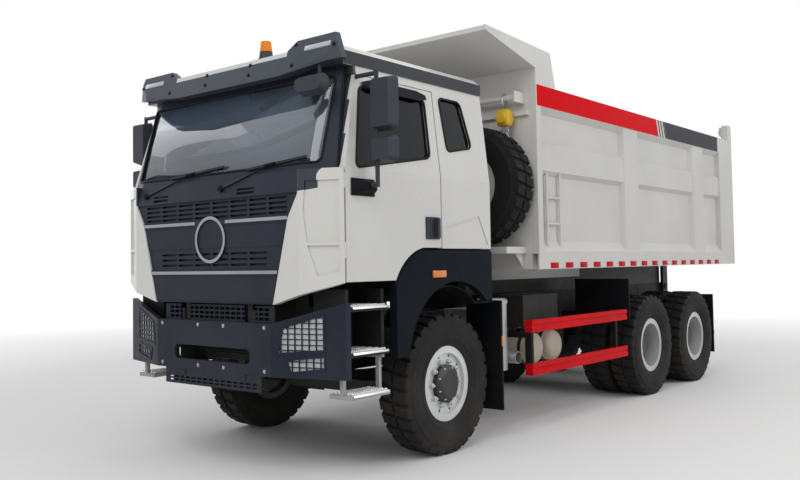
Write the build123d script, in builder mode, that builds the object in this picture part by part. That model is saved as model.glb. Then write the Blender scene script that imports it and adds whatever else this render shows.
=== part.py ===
from build123d import *
import math
import os

os.makedirs("parts", exist_ok=True)

# Overall sizes in millimetres. X points to the vehicle's left, Y to its rear, Z up.
wheelbase = 3825.0
tandem_spacing = 1350.0
front_overhang = 1460.0
rear_overhang = 1625.0
body_half_width = 1245.0
overall_length = front_overhang + wheelbase + tandem_spacing + rear_overhang
nose_y = -overall_length / 2
front_axle_y = nose_y + front_overhang
rear_axle_1_y = front_axle_y + wheelbase
rear_axle_2_y = rear_axle_1_y + tandem_spacing
tandem_mid_y = rear_axle_1_y + tandem_spacing / 2
tail_y = nose_y + overall_length

# Small clearances
seat_gap = 0.3
pin_gap = 0.1
slip_gap = 2.0
panel_gap = 6.0

# Tyres and rims
axle_z = 556.0
tyre_width = 315.0
tread_width = 262.0
lug_count = 15
lug_height = 24.0
lug_overlap = 8.0
plain_facets = 24
sidewall_radius = 440.0
rim_seat_radius = 254.0
rim_flange_radius = 292.0
rim_half_width = 115.0
rim_wall = 12.0
drum_radius = 205.0
front_track = 2040.0
rear_twin_x = 930.0
twin_spacing = 350.0
hand_hole_count = 10
hand_hole_circle = 222.0
hand_hole_radius = 14.0
hand_hole_sides = 8

# Ladder frame
rail_outer_x = 430.0
rail_height = 300.0
rail_flange = 80.0
rail_wall = 10.0
frame_top_z = 1070.0
rail_bottom_z = frame_top_z - rail_height
rail_inner_x = rail_outer_x - rail_wall
crossmember_width = 120.0
crossmember_height = 130.0
subframe_width = 90.0
subframe_height = 130.0
subframe_top_z = frame_top_z + subframe_height

# Front axle and steering
kingpin_x = 860.0
kingpin_radius = 24.0
fist_half = 45.0
fist_half_height = 58.0
yoke_lug = 50.0
yoke_half_width = 58.0
spindle_radius = 45.0
steering_arm_length = 190.0
ball_pin_radius = 15.0
tie_rod_radius = 14.0

# Cab
cab_face_y = nose_y + 5.0
fascia_depth = 55.0
cab_length = 1965.0
cab_rear_y = cab_face_y + cab_length
cab_wall = 60.0
cab_side_inner_x = body_half_width - cab_wall
cab_core_x = cab_side_inner_x - panel_gap
cab_low_z = 1390.0
cab_high_floor_z = 1600.0
cab_floor_thickness = 60.0
belt_z = 2180.0
roof_base_z = 2930.0
roof_top_z = roof_base_z + 165.0
roof_lean = 85.0
windscreen_rake = 205.0
cab_pivot_y = front_axle_y - 1330.0
cab_pivot_z = 1150.0
cab_pin_radius = 30.0

# Doors
door_front_y = front_axle_y - 1285.0
door_rear_y = front_axle_y - 190.0
door_step_y = front_axle_y - 755.0
door_arch_y = front_axle_y - 415.0
door_top_z = roof_base_z - 65.0
door_hinge_radius = 8.0
door_hinge_x = body_half_width - door_hinge_radius
door_hinge_y = door_front_y - door_hinge_radius
door_hinge_zs = (1560.0, 2040.0)
door_hinge_height = 110.0
arch_top_z = 1630.0
arch_bulge = 50.0
window_corner = 45.0

# Bed
bed_half_width = 1250.0
bed_length = 5385.0
tailgate_depth = 100.0
bed_rear_y = tail_y - tailgate_depth - 5.0
bed_front_y = bed_rear_y - bed_length
bed_wall = 14.0
bed_rib_depth = 62.0
bed_inner_x = bed_half_width - bed_wall - bed_rib_depth
bed_floor_z = 1590.0
bed_floor_thickness = 14.0
bed_skirt_z = 1445.0
bed_top_z = 3150.0
bed_height = bed_top_z - bed_floor_z
bed_beam_height = 140.0
bed_hinge_y = bed_rear_y - 575.0
bed_hinge_z = 1150.0
bed_pin_radius = 40.0
ear_thickness = 40.0
gate_hinge_y = bed_rear_y - 20.0
gate_hinge_z = bed_top_z + 140.0
gate_pin_radius = 28.0

# Hoist: distances from the bed's hinge and the first rear axle
hoist_base_lead = 655.0
hoist_base_drop = 500.0
hoist_eye_reach = 1000.0
hoist_eye_rise = 270.0
hoist_x = 180.0
barrel_radius = 85.0
rod_radius = 60.0
hoist_base_y = rear_axle_1_y - hoist_base_lead
hoist_base_z = bed_hinge_z - hoist_base_drop
hoist_eye_y = bed_hinge_y - hoist_eye_reach
hoist_eye_z = bed_hinge_z + hoist_eye_rise


def finish(piece, name):
    """Label a finished piece and write it as its own STEP file."""
    piece.part.label = name
    export_step(piece.part, f"parts/{name}.step")


def block(x0, x1, y0, y1, z0, z1, mode=Mode.ADD):
    """Box between two corners, in the current builder."""
    with Locations(((x0 + x1) / 2, (y0 + y1) / 2, (z0 + z1) / 2)):
        Box(abs(x1 - x0), abs(y1 - y0), abs(z1 - z0), mode=mode)


def bar_x(x0, x1, y, z, radius, mode=Mode.ADD):
    """Round bar along X between x0 and x1, in the current builder."""
    with Locations(((x0 + x1) / 2, y, z)):
        Cylinder(radius, abs(x1 - x0), rotation=(0, 90, 0), mode=mode)


def bar_y(x, y0, y1, z, radius, mode=Mode.ADD):
    """Round bar along Y between y0 and y1, in the current builder."""
    with Locations((x, (y0 + y1) / 2, z)):
        Cylinder(radius, abs(y1 - y0), rotation=(90, 0, 0), mode=mode)


def bar_z(x, y, z0, z1, radius, mode=Mode.ADD):
    """Round bar along Z between z0 and z1, in the current builder."""
    with Locations((x, y, (z0 + z1) / 2)):
        Cylinder(radius, abs(z1 - z0), mode=mode)


def prism_x(points, x0, x1, mode=Mode.ADD):
    """Outline of (y, z) points extruded along X from x0 to x1, in the current builder."""
    with BuildSketch(Plane.YZ.offset(min(x0, x1))) as outline:
        Polygon(*points, align=None)
    extrude(outline.sketch, amount=abs(x1 - x0), dir=(1, 0, 0), mode=mode)


def prism_y(points, y0, y1, mode=Mode.ADD):
    """Outline of (x, z) points extruded along Y from y0 to y1, in the current builder."""
    with BuildSketch(Plane.XZ.offset(-max(y0, y1))) as outline:
        Polygon(*points, align=None)
    extrude(outline.sketch, amount=abs(y1 - y0), dir=(0, -1, 0), mode=mode)


def prism_z(points, z0, z1, mode=Mode.ADD):
    """Outline of (x, y) points extruded along Z from z0 to z1, in the current builder."""
    with BuildSketch(Plane.XY.offset(min(z0, z1))) as outline:
        Polygon(*points, align=None)
    extrude(outline.sketch, amount=abs(z1 - z0), dir=(0, 0, 1), mode=mode)


def rod(start, end, radius):
    """Round rod between two points, in the current builder."""
    run = Vector(*end) - Vector(*start)
    with BuildSketch(Plane(origin=start, z_dir=run)) as outline:
        Circle(radius)
    extrude(outline.sketch, amount=run.length)


def arched_prism(points, middle, x0, x1, mode=Mode.ADD):
    """Outline of (y, z) points, closed from last to first by an arc through middle, extruded along X."""
    with BuildSketch(Plane.YZ.offset(min(x0, x1))) as outline:
        with BuildLine():
            Polyline(*points)
            ThreePointArc(points[-1], middle, points[0])
        make_face()
    extrude(outline.sketch, amount=abs(x1 - x0), dir=(1, 0, 0), mode=mode)


def slot_grid(centre, pitch, size, counts, y0, y1, mode=Mode.SUBTRACT):
    """Rows of equal upright rectangles about an (x, z) centre, extruded along Y, in the current builder."""
    with BuildSketch(Plane.XZ.offset(-max(y0, y1))) as outline:
        with Locations(centre):
            with GridLocations(pitch[0], pitch[1], counts[0], counts[1]):
                Rectangle(size[0], size[1])
    extrude(outline.sketch, amount=abs(y1 - y0), dir=(0, -1, 0), mode=mode)


# Tyre and rim forms about the X axis, outer face towards +X
tyre_bore = rim_flange_radius + 6.0


lug_pitch = 360.0 / lug_count
lug_half = lug_pitch / 4
lug_radius = axle_z / math.cos(math.radians(lug_half))
tread_root_radius = lug_radius - lug_height


def flat_ring(radius, count):
    """Corners (y, z) of a regular outline about the wheel's axis that stands on a flat side."""
    step = 2 * math.pi / count
    angles = [step * (index + 0.5) - math.pi / 2 for index in range(count)]
    return [(radius * math.cos(angle), radius * math.sin(angle)) for angle in angles]


def lug_ring(turn):
    """Corners (y, z) of lugs and gaps of equal width, the first lug turned from straight down."""
    corners = []
    for index in range(lug_count):
        middle = index * lug_pitch + turn - 90.0
        gap_end = middle + lug_pitch - lug_half
        for angle, radius in (
            (middle - lug_half, lug_radius),
            (middle + lug_half, lug_radius),
            (middle + lug_half, tread_root_radius),
            (gap_end, tread_root_radius),
        ):
            corners.append((radius * math.cos(math.radians(angle)), radius * math.sin(math.radians(angle))))
    return corners


def flat_cone(x0, radius0, x1, radius1, count):
    """Solid with flat facets between two regular outlines on the wheel's axis."""
    near = [(x0, y, z) for y, z in flat_ring(radius0, count)]
    far = [(x1, y, z) for y, z in flat_ring(radius1, count)]
    facets = [Face(Wire.make_polygon(near)), Face(Wire.make_polygon(far))]
    for index in range(count):
        after = (index + 1) % count
        facets.append(Face(Wire.make_polygon([near[index], near[after], far[after], far[index]])))
    return Solid(Shell(facets))


def tyre_form(lugged):
    """Tyre with flat facets, tapered sidewalls and a plain bore, and with two rows of lugs if asked."""
    count = 2 * lug_count if lugged else plain_facets
    radius = tread_root_radius if lugged else axle_z / math.cos(math.pi / plain_facets)
    bore = tyre_bore / math.cos(math.pi / count)
    with BuildPart() as form:
        prism_x(flat_ring(radius, count), -tread_width / 2, tread_width / 2)
        for end, turn in ((1, 0.0), (-1, lug_pitch / 2)):
            add(flat_cone(end * tread_width / 2, radius, end * tyre_width / 2, sidewall_radius, count))
            if lugged:
                prism_x(lug_ring(turn), -end * lug_overlap, end * tread_width / 2)
        prism_x(flat_ring(bore, count), -tyre_width, tyre_width, mode=Mode.SUBTRACT)
    return form.part


tyre = tyre_form(True)
inner_tyre = tyre_form(False)
tyre_seat_radius = tyre_bore - seat_gap
front_disc_x = 62.0
disc_thickness = 24.0
hub_radius = 150.0
hub_cap_radius = 105.0
hub_cap_x = 148.0
drum_inner_x = -75.0
spindle_end_x = 18.0

with BuildPart() as front_rim_form:
    with BuildSketch(Plane.XY):
        Polygon(
            (drum_inner_x, spindle_radius + pin_gap),
            (drum_inner_x, drum_radius),
            (front_disc_x, drum_radius),
            (front_disc_x, rim_seat_radius - rim_wall),
            (-rim_half_width, rim_seat_radius - rim_wall),
            (-rim_half_width, tyre_seat_radius),
            (rim_half_width, tyre_seat_radius),
            (rim_half_width, rim_seat_radius - rim_wall),
            (front_disc_x + disc_thickness, rim_seat_radius - rim_wall),
            (front_disc_x + disc_thickness, hub_radius),
            (hub_cap_x - disc_thickness, hub_radius),
            (hub_cap_x, hub_cap_radius),
            (hub_cap_x, 0),
            (spindle_end_x, 0),
            (spindle_end_x, spindle_radius + pin_gap),
            align=None,
        )
    revolve(axis=Axis.X)
    with BuildSketch(Plane.YZ.offset(front_disc_x - slip_gap)):
        with PolarLocations(hand_hole_circle, hand_hole_count):
            RegularPolygon(hand_hole_radius, hand_hole_sides)
    extrude(amount=disc_thickness + 2 * slip_gap, mode=Mode.SUBTRACT)

rear_spindle_radius = 62.0
rear_barrel_half = twin_spacing / 2 + rim_half_width
rear_hub_x = 215.0
rear_drum_inner_x = -rear_barrel_half + 40.0
rear_spindle_end_x = 120.0

with BuildPart() as rear_rim_form:
    with BuildSketch(Plane.XY):
        Polygon(
            (rear_drum_inner_x, rear_spindle_radius + pin_gap),
            (rear_drum_inner_x, drum_radius),
            (-disc_thickness / 2, drum_radius),
            (-disc_thickness / 2, rim_seat_radius - rim_wall),
            (-rear_barrel_half, rim_seat_radius - rim_wall),
            (-rear_barrel_half, tyre_seat_radius),
            (-rear_barrel_half + 2 * rim_half_width, tyre_seat_radius),
            (-rear_barrel_half + 2 * rim_half_width, rim_seat_radius),
            (rear_barrel_half - 2 * rim_half_width, rim_seat_radius),
            (rear_barrel_half - 2 * rim_half_width, tyre_seat_radius),
            (rear_barrel_half, tyre_seat_radius),
            (rear_barrel_half, rim_seat_radius - rim_wall),
            (disc_thickness / 2, rim_seat_radius - rim_wall),
            (disc_thickness / 2, hub_radius),
            (rear_hub_x - disc_thickness, hub_radius),
            (rear_hub_x, hub_cap_radius),
            (rear_hub_x, 0),
            (rear_spindle_end_x, 0),
            (rear_spindle_end_x, rear_spindle_radius + pin_gap),
            align=None,
        )
    revolve(axis=Axis.X)
    with BuildSketch(Plane.YZ.offset(-disc_thickness)):
        with PolarLocations(hand_hole_circle, hand_hole_count):
            RegularPolygon(hand_hole_radius, hand_hole_sides)
    extrude(amount=2 * disc_thickness, mode=Mode.SUBTRACT)

sides = (("left", 1), ("right", -1))

for side, sign in sides:
    turn = 0 if sign > 0 else 180
    with BuildPart() as front_tyre:
        with Locations(Location((sign * front_track / 2, front_axle_y, axle_z), (0, 0, turn))):
            add(tyre)
    finish(front_tyre, f"front_tyre_{side}")
    with BuildPart() as front_rim:
        with Locations(Location((sign * front_track / 2, front_axle_y, axle_z), (0, 0, turn))):
            add(front_rim_form.part)
    finish(front_rim, f"front_rim_{side}")
    for number, axle_y in ((1, rear_axle_1_y), (2, rear_axle_2_y)):
        with BuildPart() as rear_tyres:
            for twin in (1, -1):
                tyre_x = sign * rear_twin_x + twin * twin_spacing / 2
                with Locations(Location((tyre_x, axle_y, axle_z), (0, 0, turn))):
                    add(tyre if sign * twin > 0 else inner_tyre)
        finish(rear_tyres, f"rear_tyres_{number}_{side}")
        with BuildPart() as rear_rims:
            with Locations(Location((sign * rear_twin_x, axle_y, axle_z), (0, 0, turn))):
                add(rear_rim_form.part)
        finish(rear_rims, f"rear_rims_{number}_{side}")

# Ladder frame with subframe, cab mounts, hinge pins and hoist trunnion
bumper_wall = 45.0
rail_front_y = cab_face_y - 2.0 + bumper_wall
rail_rear_y = bed_hinge_y + 80.0
subframe_front_y = bed_front_y - 60.0
subframe_inner_x = rail_outer_x - subframe_width
cab_bracket_x = rail_outer_x - 30.0
cab_pin_inner_x = cab_bracket_x - 70.0
cab_post_y = front_axle_y + 300.0
cab_post_depth = 80.0
cab_post_inner_x = rail_outer_x - 60.0
trunnion_radius = 45.0
crossmember_ys = (
    front_axle_y - 1150.0,
    front_axle_y + 1300.0,
    front_axle_y + 2300.0,
    rail_rear_y - crossmember_width / 2,
)
with BuildPart() as ladder_frame:
    for sign in (1, -1):
        rail_points = [
            (sign * rail_outer_x, rail_bottom_z),
            (sign * rail_outer_x, frame_top_z),
            (sign * (rail_outer_x - rail_flange), frame_top_z),
            (sign * (rail_outer_x - rail_flange), frame_top_z - rail_wall),
            (sign * rail_inner_x, frame_top_z - rail_wall),
            (sign * rail_inner_x, rail_bottom_z + rail_wall),
            (sign * (rail_outer_x - rail_flange), rail_bottom_z + rail_wall),
            (sign * (rail_outer_x - rail_flange), rail_bottom_z),
        ]
        prism_y(rail_points, rail_front_y, rail_rear_y)
        block(
            sign * subframe_inner_x, sign * rail_outer_x, subframe_front_y, bed_hinge_y + bed_pin_radius,
            frame_top_z, subframe_top_z,
        )
        bar_x(
            sign * rail_outer_x, sign * (rail_outer_x + ear_thickness + 25.0), bed_hinge_y, bed_hinge_z,
            bed_pin_radius,
        )
        block(
            sign * cab_bracket_x, sign * rail_outer_x, cab_pivot_y - 60.0, cab_pivot_y + 60.0,
            frame_top_z, cab_pivot_z + 45.0,
        )
        bar_x(sign * cab_pin_inner_x, sign * rail_outer_x, cab_pivot_y, cab_pivot_z, cab_pin_radius)
        block(
            sign * cab_post_inner_x, sign * rail_outer_x, cab_post_y, cab_post_y + cab_post_depth,
            frame_top_z, cab_high_floor_z - seat_gap,
        )
    for y in crossmember_ys:
        block(
            -rail_inner_x, rail_inner_x, y - crossmember_width / 2, y + crossmember_width / 2,
            frame_top_z - crossmember_height - rail_wall, frame_top_z - rail_wall,
        )
    block(
        -rail_inner_x, rail_inner_x, tandem_mid_y - crossmember_width / 2, tandem_mid_y + crossmember_width / 2,
        rail_bottom_z + rail_wall, rail_bottom_z + rail_wall + crossmember_height,
    )
    block(
        -cab_post_inner_x, cab_post_inner_x, cab_post_y, cab_post_y + cab_post_depth,
        cab_high_floor_z - 150.0, cab_high_floor_z - 70.0,
    )
    for sign in (1, -1):
        bar_x(
            sign * (hoist_x - barrel_radius), sign * rail_inner_x, hoist_base_y, hoist_base_z, trunnion_radius,
        )
        block(
            sign * (rail_inner_x - 20.0), sign * rail_outer_x, hoist_base_y - 80.0, hoist_base_y + 80.0,
            hoist_base_z - 70.0, rail_bottom_z + rail_wall,
        )
finish(ladder_frame, "ladder_frame")

# Axles
beam_drop = 20.0
beam_depth = 120.0
beam_half_width = 50.0
beam_knee_x = 620.0
lug_sweep = math.hypot(fist_half, yoke_half_width) + 2 * slip_gap
axle_box_half = 75.0
axle_box_x = 670.0
bowl_radius = 205.0
bowl_half_length = 150.0
nose_radius = 85.0
nose_length = 290.0
with BuildPart() as axles:
    front_outline = [
        (kingpin_x, axle_z - fist_half_height),
        (kingpin_x, axle_z + fist_half_height),
        (kingpin_x - fist_half, axle_z + fist_half_height),
        (beam_knee_x, axle_z - beam_drop),
        (-beam_knee_x, axle_z - beam_drop),
        (-kingpin_x + fist_half, axle_z + fist_half_height),
        (-kingpin_x, axle_z + fist_half_height),
        (-kingpin_x, axle_z - fist_half_height),
        (-kingpin_x + lug_sweep, axle_z - fist_half_height),
        (-beam_knee_x + fist_half, axle_z - beam_drop - beam_depth),
        (beam_knee_x - fist_half, axle_z - beam_drop - beam_depth),
        (kingpin_x - lug_sweep, axle_z - fist_half_height),
    ]
    prism_y(front_outline, front_axle_y - beam_half_width, front_axle_y + beam_half_width)
    for sign in (1, -1):
        bar_z(
            sign * kingpin_x, front_axle_y, axle_z - fist_half_height, axle_z + fist_half_height, fist_half,
        )
        bar_z(
            sign * kingpin_x, front_axle_y, axle_z - 2 * fist_half_height, axle_z + 2 * fist_half_height,
            kingpin_radius + pin_gap, mode=Mode.SUBTRACT,
        )
    for axle_y in (rear_axle_1_y, rear_axle_2_y):
        block(
            -axle_box_x, axle_box_x, axle_y - axle_box_half, axle_y + axle_box_half,
            axle_z - axle_box_half, axle_z + axle_box_half,
        )
        bar_y(0, axle_y - bowl_half_length, axle_y + bowl_half_length, axle_z, bowl_radius)
        bar_y(0, axle_y - nose_length, axle_y + nose_length, axle_z + 60.0, nose_radius)
        for sign in (1, -1):
            bar_x(
                sign * (axle_box_x - 1.0), sign * (rear_twin_x + rear_spindle_end_x - slip_gap), axle_y, axle_z,
                rear_spindle_radius,
            )
finish(axles, "axles")

# Leaf springs with their hangers and the tandem trunnion brackets
spring_x = 420.0
spring_width = 80.0
spring_half_length = 740.0
spring_top_drop = 95.0
front_spring_z = axle_z - beam_drop
rear_spring_inner_x = rail_outer_x + 40.0
rear_spring_width = 95.0
rear_spring_z = axle_z + axle_box_half
rear_spring_half = tandem_spacing / 2 - 20.0
with BuildPart() as leaf_springs:
    with BuildSketch(Plane.YZ.offset(spring_x - spring_width / 2)):
        with BuildLine():
            low_left = (front_axle_y - spring_half_length + 130.0, front_spring_z + 120.0)
            low_right = (front_axle_y + spring_half_length - 130.0, front_spring_z + 120.0)
            high_left = (front_axle_y - spring_half_length, rail_bottom_z - 40.0)
            high_right = (front_axle_y + spring_half_length, rail_bottom_z - 40.0)
            high_mid = (front_axle_y, rail_bottom_z - 40.0 - spring_top_drop)
            ThreePointArc(low_left, (front_axle_y, front_spring_z + seat_gap), low_right)
            Line(low_right, high_right)
            ThreePointArc(high_right, high_mid, high_left)
            Line(high_left, low_left)
        make_face()
    extrude(amount=spring_width)
    for end in (-1, 1):
        hanger_y = front_axle_y + end * spring_half_length
        block(
            spring_x - spring_width / 2, spring_x + spring_width / 2, hanger_y - 55.0, hanger_y + 55.0,
            rail_bottom_z - 75.0, rail_bottom_z,
        )
    with BuildSketch(Plane.YZ.offset(rear_spring_inner_x)):
        with BuildLine():
            rear_low_left = (tandem_mid_y - rear_spring_half, rear_spring_z + seat_gap)
            rear_low_right = (tandem_mid_y + rear_spring_half, rear_spring_z + seat_gap)
            rear_high_left = (tandem_mid_y - rear_spring_half, rear_spring_z + 40.0)
            rear_high_right = (tandem_mid_y + rear_spring_half, rear_spring_z + 40.0)
            ThreePointArc(rear_low_left, (tandem_mid_y, rear_spring_z + 70.0), rear_low_right)
            Line(rear_low_right, rear_high_right)
            ThreePointArc(rear_high_right, (tandem_mid_y, rear_spring_z + 215.0), rear_high_left)
            Line(rear_high_left, rear_low_left)
        make_face()
    extrude(amount=rear_spring_width)
    block(
        rail_outer_x, rear_spring_inner_x, tandem_mid_y - 110.0, tandem_mid_y + 110.0,
        rear_spring_z + 80.0, frame_top_z - 60.0,
    )
    mirror(about=Plane.YZ)
finish(leaf_springs, "leaf_springs")

# Engine block, gearbox and propeller shafts
engine_half_width = 330.0
engine_front_y = front_axle_y - 880.0
engine_rear_y = front_axle_y + 230.0
engine_bottom_z = 640.0
engine_top_z = 1340.0
gearbox_half_width = 200.0
gearbox_rear_y = front_axle_y + 1000.0
gearbox_top_z = 1030.0
shaft_radius = 55.0
shaft_start = (0, gearbox_rear_y - 10.0, 850.0)
shaft_end = (0, rear_axle_1_y - nose_length - 2.0, axle_z + 75.0)
with BuildPart() as driveline:
    block(
        -engine_half_width, engine_half_width, engine_front_y, engine_rear_y,
        engine_bottom_z + 130.0, engine_top_z,
    )
    block(
        -spring_x + spring_width, spring_x - spring_width, engine_front_y + 120.0, engine_rear_y,
        engine_bottom_z, engine_bottom_z + 130.0,
    )
    block(
        -gearbox_half_width, gearbox_half_width, engine_rear_y, gearbox_rear_y,
        engine_bottom_z + 60.0, gearbox_top_z,
    )
    for y in (engine_front_y + 250.0, engine_rear_y - 250.0):
        block(
            -rail_inner_x, rail_inner_x, y - 60.0, y + 60.0, rail_bottom_z + 2 * rail_wall,
            rail_bottom_z + 2 * rail_wall + 90.0,
        )
    shaft_vector = Vector(*shaft_end) - Vector(*shaft_start)
    with BuildSketch(Plane(origin=shaft_start, z_dir=shaft_vector)):
        Circle(shaft_radius)
    extrude(amount=shaft_vector.length - 20.0)
    bar_y(
        0, rear_axle_1_y + nose_length + seat_gap, rear_axle_2_y - nose_length - seat_gap, axle_z + 60.0,
        shaft_radius,
    )
finish(driveline, "driveline")

# Knuckles and tie rod
tie_rod_z = axle_z - fist_half_height - slip_gap - yoke_lug - 25.0
tie_rod_y = front_axle_y + steering_arm_length
eye_radius = 32.0
eye_half = 18.0
for side, sign in sides:
    with BuildPart() as knuckle:
        for level in (1, -1):
            lug_low = level * (fist_half_height + slip_gap)
            lug_high = level * (fist_half_height + slip_gap + yoke_lug)
            block(
                sign * (kingpin_x - fist_half), sign * (kingpin_x + fist_half + 35.0),
                front_axle_y - yoke_half_width, front_axle_y + yoke_half_width,
                axle_z + lug_low, axle_z + lug_high,
            )
        block(
            sign * (kingpin_x + fist_half + 5.0), sign * (kingpin_x + fist_half + 35.0),
            front_axle_y - yoke_half_width, front_axle_y + yoke_half_width,
            axle_z - fist_half_height - slip_gap, axle_z + fist_half_height + slip_gap,
        )
        bar_z(
            sign * kingpin_x, front_axle_y, axle_z - fist_half_height - yoke_lug,
            axle_z + fist_half_height + yoke_lug, kingpin_radius,
        )
        bar_x(
            sign * (kingpin_x + fist_half + 30.0), sign * (front_track / 2 + spindle_end_x - slip_gap),
            front_axle_y, axle_z, spindle_radius,
        )
        block(
            sign * (kingpin_x - 25.0), sign * (kingpin_x + 25.0),
            front_axle_y + yoke_half_width - 5.0, tie_rod_y + 25.0,
            axle_z - fist_half_height - slip_gap - yoke_lug, axle_z - fist_half_height - slip_gap,
        )
        bar_z(
            sign * kingpin_x, tie_rod_y, tie_rod_z - eye_half, axle_z - fist_half_height - slip_gap - 10.0,
            ball_pin_radius,
        )
    finish(knuckle, f"knuckle_{side}")

with BuildPart() as tie_rod:
    bar_x(-kingpin_x, kingpin_x, tie_rod_y, tie_rod_z, tie_rod_radius)
    for sign in (1, -1):
        bar_z(sign * kingpin_x, tie_rod_y, tie_rod_z - eye_half, tie_rod_z + eye_half, eye_radius)
        bar_z(
            sign * kingpin_x, tie_rod_y, tie_rod_z - 2 * eye_half, tie_rod_z + 2 * eye_half,
            ball_pin_radius + pin_gap, mode=Mode.SUBTRACT,
        )
finish(tie_rod, "tie_rod")

# Front bumper with lamp recesses and guards, centre opening, lower mesh, apron and tow eyes
bumper_face_y = cab_face_y - 2.0
bumper_knee_x = 668.0
bumper_end_y = front_axle_y - 1300.0
bumper_low_z = 730.0
bumper_top_z = 1105.0
bumper_end_top_z = 1255.0
bumper_end_depth = 50.0
tow_eye_x = 350.0
tow_eye_radius = 22.0
tow_eye_thickness = 40.0
face_run = body_half_width - bumper_knee_x
face_drop = bumper_end_y - bumper_face_y
face_length = math.hypot(face_run, face_drop)
lamp_outline = [(60.0, 900.0), (98.0, 1078.0), (424.0, 1168.0), (428.0, 930.0)]
fog_outline = [(158.0, 770.0), (130.0, 852.0), (428.0, 882.0), (430.0, 800.0)]
lamp_depth = 30.0
guard_border = 12.0
guard_wire = 6.0
guard_pitch = (57.0, 38.0)
guard_cells = (8, 9)
lamp_guard_thickness = 10.0
mesh_y = front_axle_y - 1393.0
mesh_thickness = 12.0
mesh_low_z = 1085.0
mesh_high_z = 1226.0
mesh_half_width = 640.0
mesh_notch_x = (318.0, rail_outer_x + 7.0)
apron_half_width = 560.0
apron_low_z = 610.0


def lamp_plane(offset):
    """Plane on the left angled face of the bumper, X along the face, Y up, moved outwards by offset."""
    origin = Vector(bumper_knee_x, bumper_face_y, 0)
    along = Vector(face_run, face_drop, 0)
    out = Vector(face_drop, -face_run, 0)
    return Plane(origin=origin, x_dir=along, z_dir=out).offset(offset)


def inset_face(points, amount):
    """Face inside a closed outline, every side moved inwards by amount."""
    with BuildSketch() as shape:
        Polygon(*points, align=None)
        offset(amount=-amount, kind=Kind.INTERSECTION, mode=Mode.REPLACE)
    return shape.sketch


with BuildPart() as front_bumper:
    bumper_plan = [
        (-body_half_width, bumper_end_y),
        (-bumper_knee_x, bumper_face_y),
        (bumper_knee_x, bumper_face_y),
        (body_half_width, bumper_end_y),
        (body_half_width, bumper_end_y + bumper_end_depth),
        (bumper_knee_x, bumper_face_y + bumper_wall),
        (-bumper_knee_x, bumper_face_y + bumper_wall),
        (-body_half_width, bumper_end_y + bumper_end_depth),
    ]
    prism_z(bumper_plan, bumper_low_z, bumper_end_top_z)
    bumper_view = [
        (-body_half_width, bumper_low_z),
        (body_half_width, bumper_low_z),
        (body_half_width, bumper_end_top_z),
        (bumper_knee_x, bumper_top_z),
        (-bumper_knee_x, bumper_top_z),
        (-body_half_width, bumper_end_top_z),
    ]
    prism_y(bumper_view, bumper_face_y - 10.0, bumper_end_y + 2 * bumper_end_depth, mode=Mode.INTERSECT)
    with BuildSketch(Plane.XZ.offset(-bumper_face_y - 2 * bumper_wall)):
        with Locations((0, bumper_low_z + 130.0)):
            RectangleRounded(880.0, 110.0, 40.0)
    extrude(amount=3 * bumper_wall, mode=Mode.SUBTRACT)
    for outline in (lamp_outline, fog_outline):
        with BuildSketch(lamp_plane(lamp_guard_thickness)):
            Polygon(*outline, align=None)
        cut = extrude(amount=-lamp_guard_thickness - lamp_depth, mode=Mode.SUBTRACT)
        mirror(cut, about=Plane.YZ, mode=Mode.SUBTRACT)
        with BuildSketch(lamp_plane(lamp_guard_thickness / 2)):
            add(inset_face(outline, -guard_border))
            middle = Vector(*[sum(values) / len(outline) for values in zip(*outline)])
            with Locations(middle):
                with GridLocations(guard_pitch[0], guard_pitch[1], guard_cells[0], guard_cells[1]):
                    Rectangle(guard_pitch[0] - guard_wire, guard_pitch[1] - guard_wire, mode=Mode.SUBTRACT)
            with BuildSketch(mode=Mode.PRIVATE) as rim:
                add(inset_face(outline, -guard_border))
                add(inset_face(outline, guard_wire / 2), mode=Mode.SUBTRACT)
            add(rim.sketch)
        guard = extrude(amount=-lamp_guard_thickness)
        mirror(guard, about=Plane.YZ)
    for sign in (1, -1):
        block(
            sign * tow_eye_x - 45.0, sign * tow_eye_x + 45.0, nose_y, bumper_face_y + 180.0,
            bumper_low_z - tow_eye_thickness, bumper_low_z,
        )
        bar_z(
            sign * tow_eye_x, bumper_face_y + 45.0, bumper_low_z - 2 * tow_eye_thickness, bumper_low_z,
            tow_eye_radius, mode=Mode.SUBTRACT,
        )
    block(
        -mesh_half_width, mesh_half_width, bumper_face_y + bumper_wall, mesh_y + mesh_thickness, mesh_low_z,
        bumper_top_z,
    )
    block(-mesh_half_width, mesh_half_width, mesh_y, mesh_y + mesh_thickness, mesh_low_z, mesh_high_z)
    for sign in (1, -1):
        block(
            sign * mesh_notch_x[0], sign * mesh_notch_x[1], mesh_y - slip_gap, mesh_y + 2 * mesh_thickness,
            mesh_low_z - slip_gap, mesh_high_z + mesh_thickness, mode=Mode.SUBTRACT,
        )
    slot_grid(
        (0, (bumper_top_z + mesh_high_z) / 2), (62.0, 34.0), (50.0, 22.0), (19, 3),
        mesh_y - mesh_thickness, mesh_y + 2 * mesh_thickness,
    )
    block(
        -apron_half_width, apron_half_width, bumper_face_y + slip_gap, bumper_face_y + slip_gap + mesh_thickness,
        apron_low_z, bumper_low_z,
    )
    slot_grid(
        (0, (apron_low_z + bumper_low_z - tow_eye_thickness) / 2), (70.0, 26.0), (52.0, 14.0), (15, 2),
        bumper_face_y, bumper_face_y + 2 * bumper_wall,
    )
finish(front_bumper, "front_bumper")

with BuildPart() as lamps:
    for outline in (lamp_outline, fog_outline):
        with BuildSketch(lamp_plane(-lamp_depth + seat_gap)):
            add(inset_face(outline, slip_gap))
        lens = extrude(amount=lamp_depth - 8.0)
        mirror(lens, about=Plane.YZ)
finish(lamps, "lamps")

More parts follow.
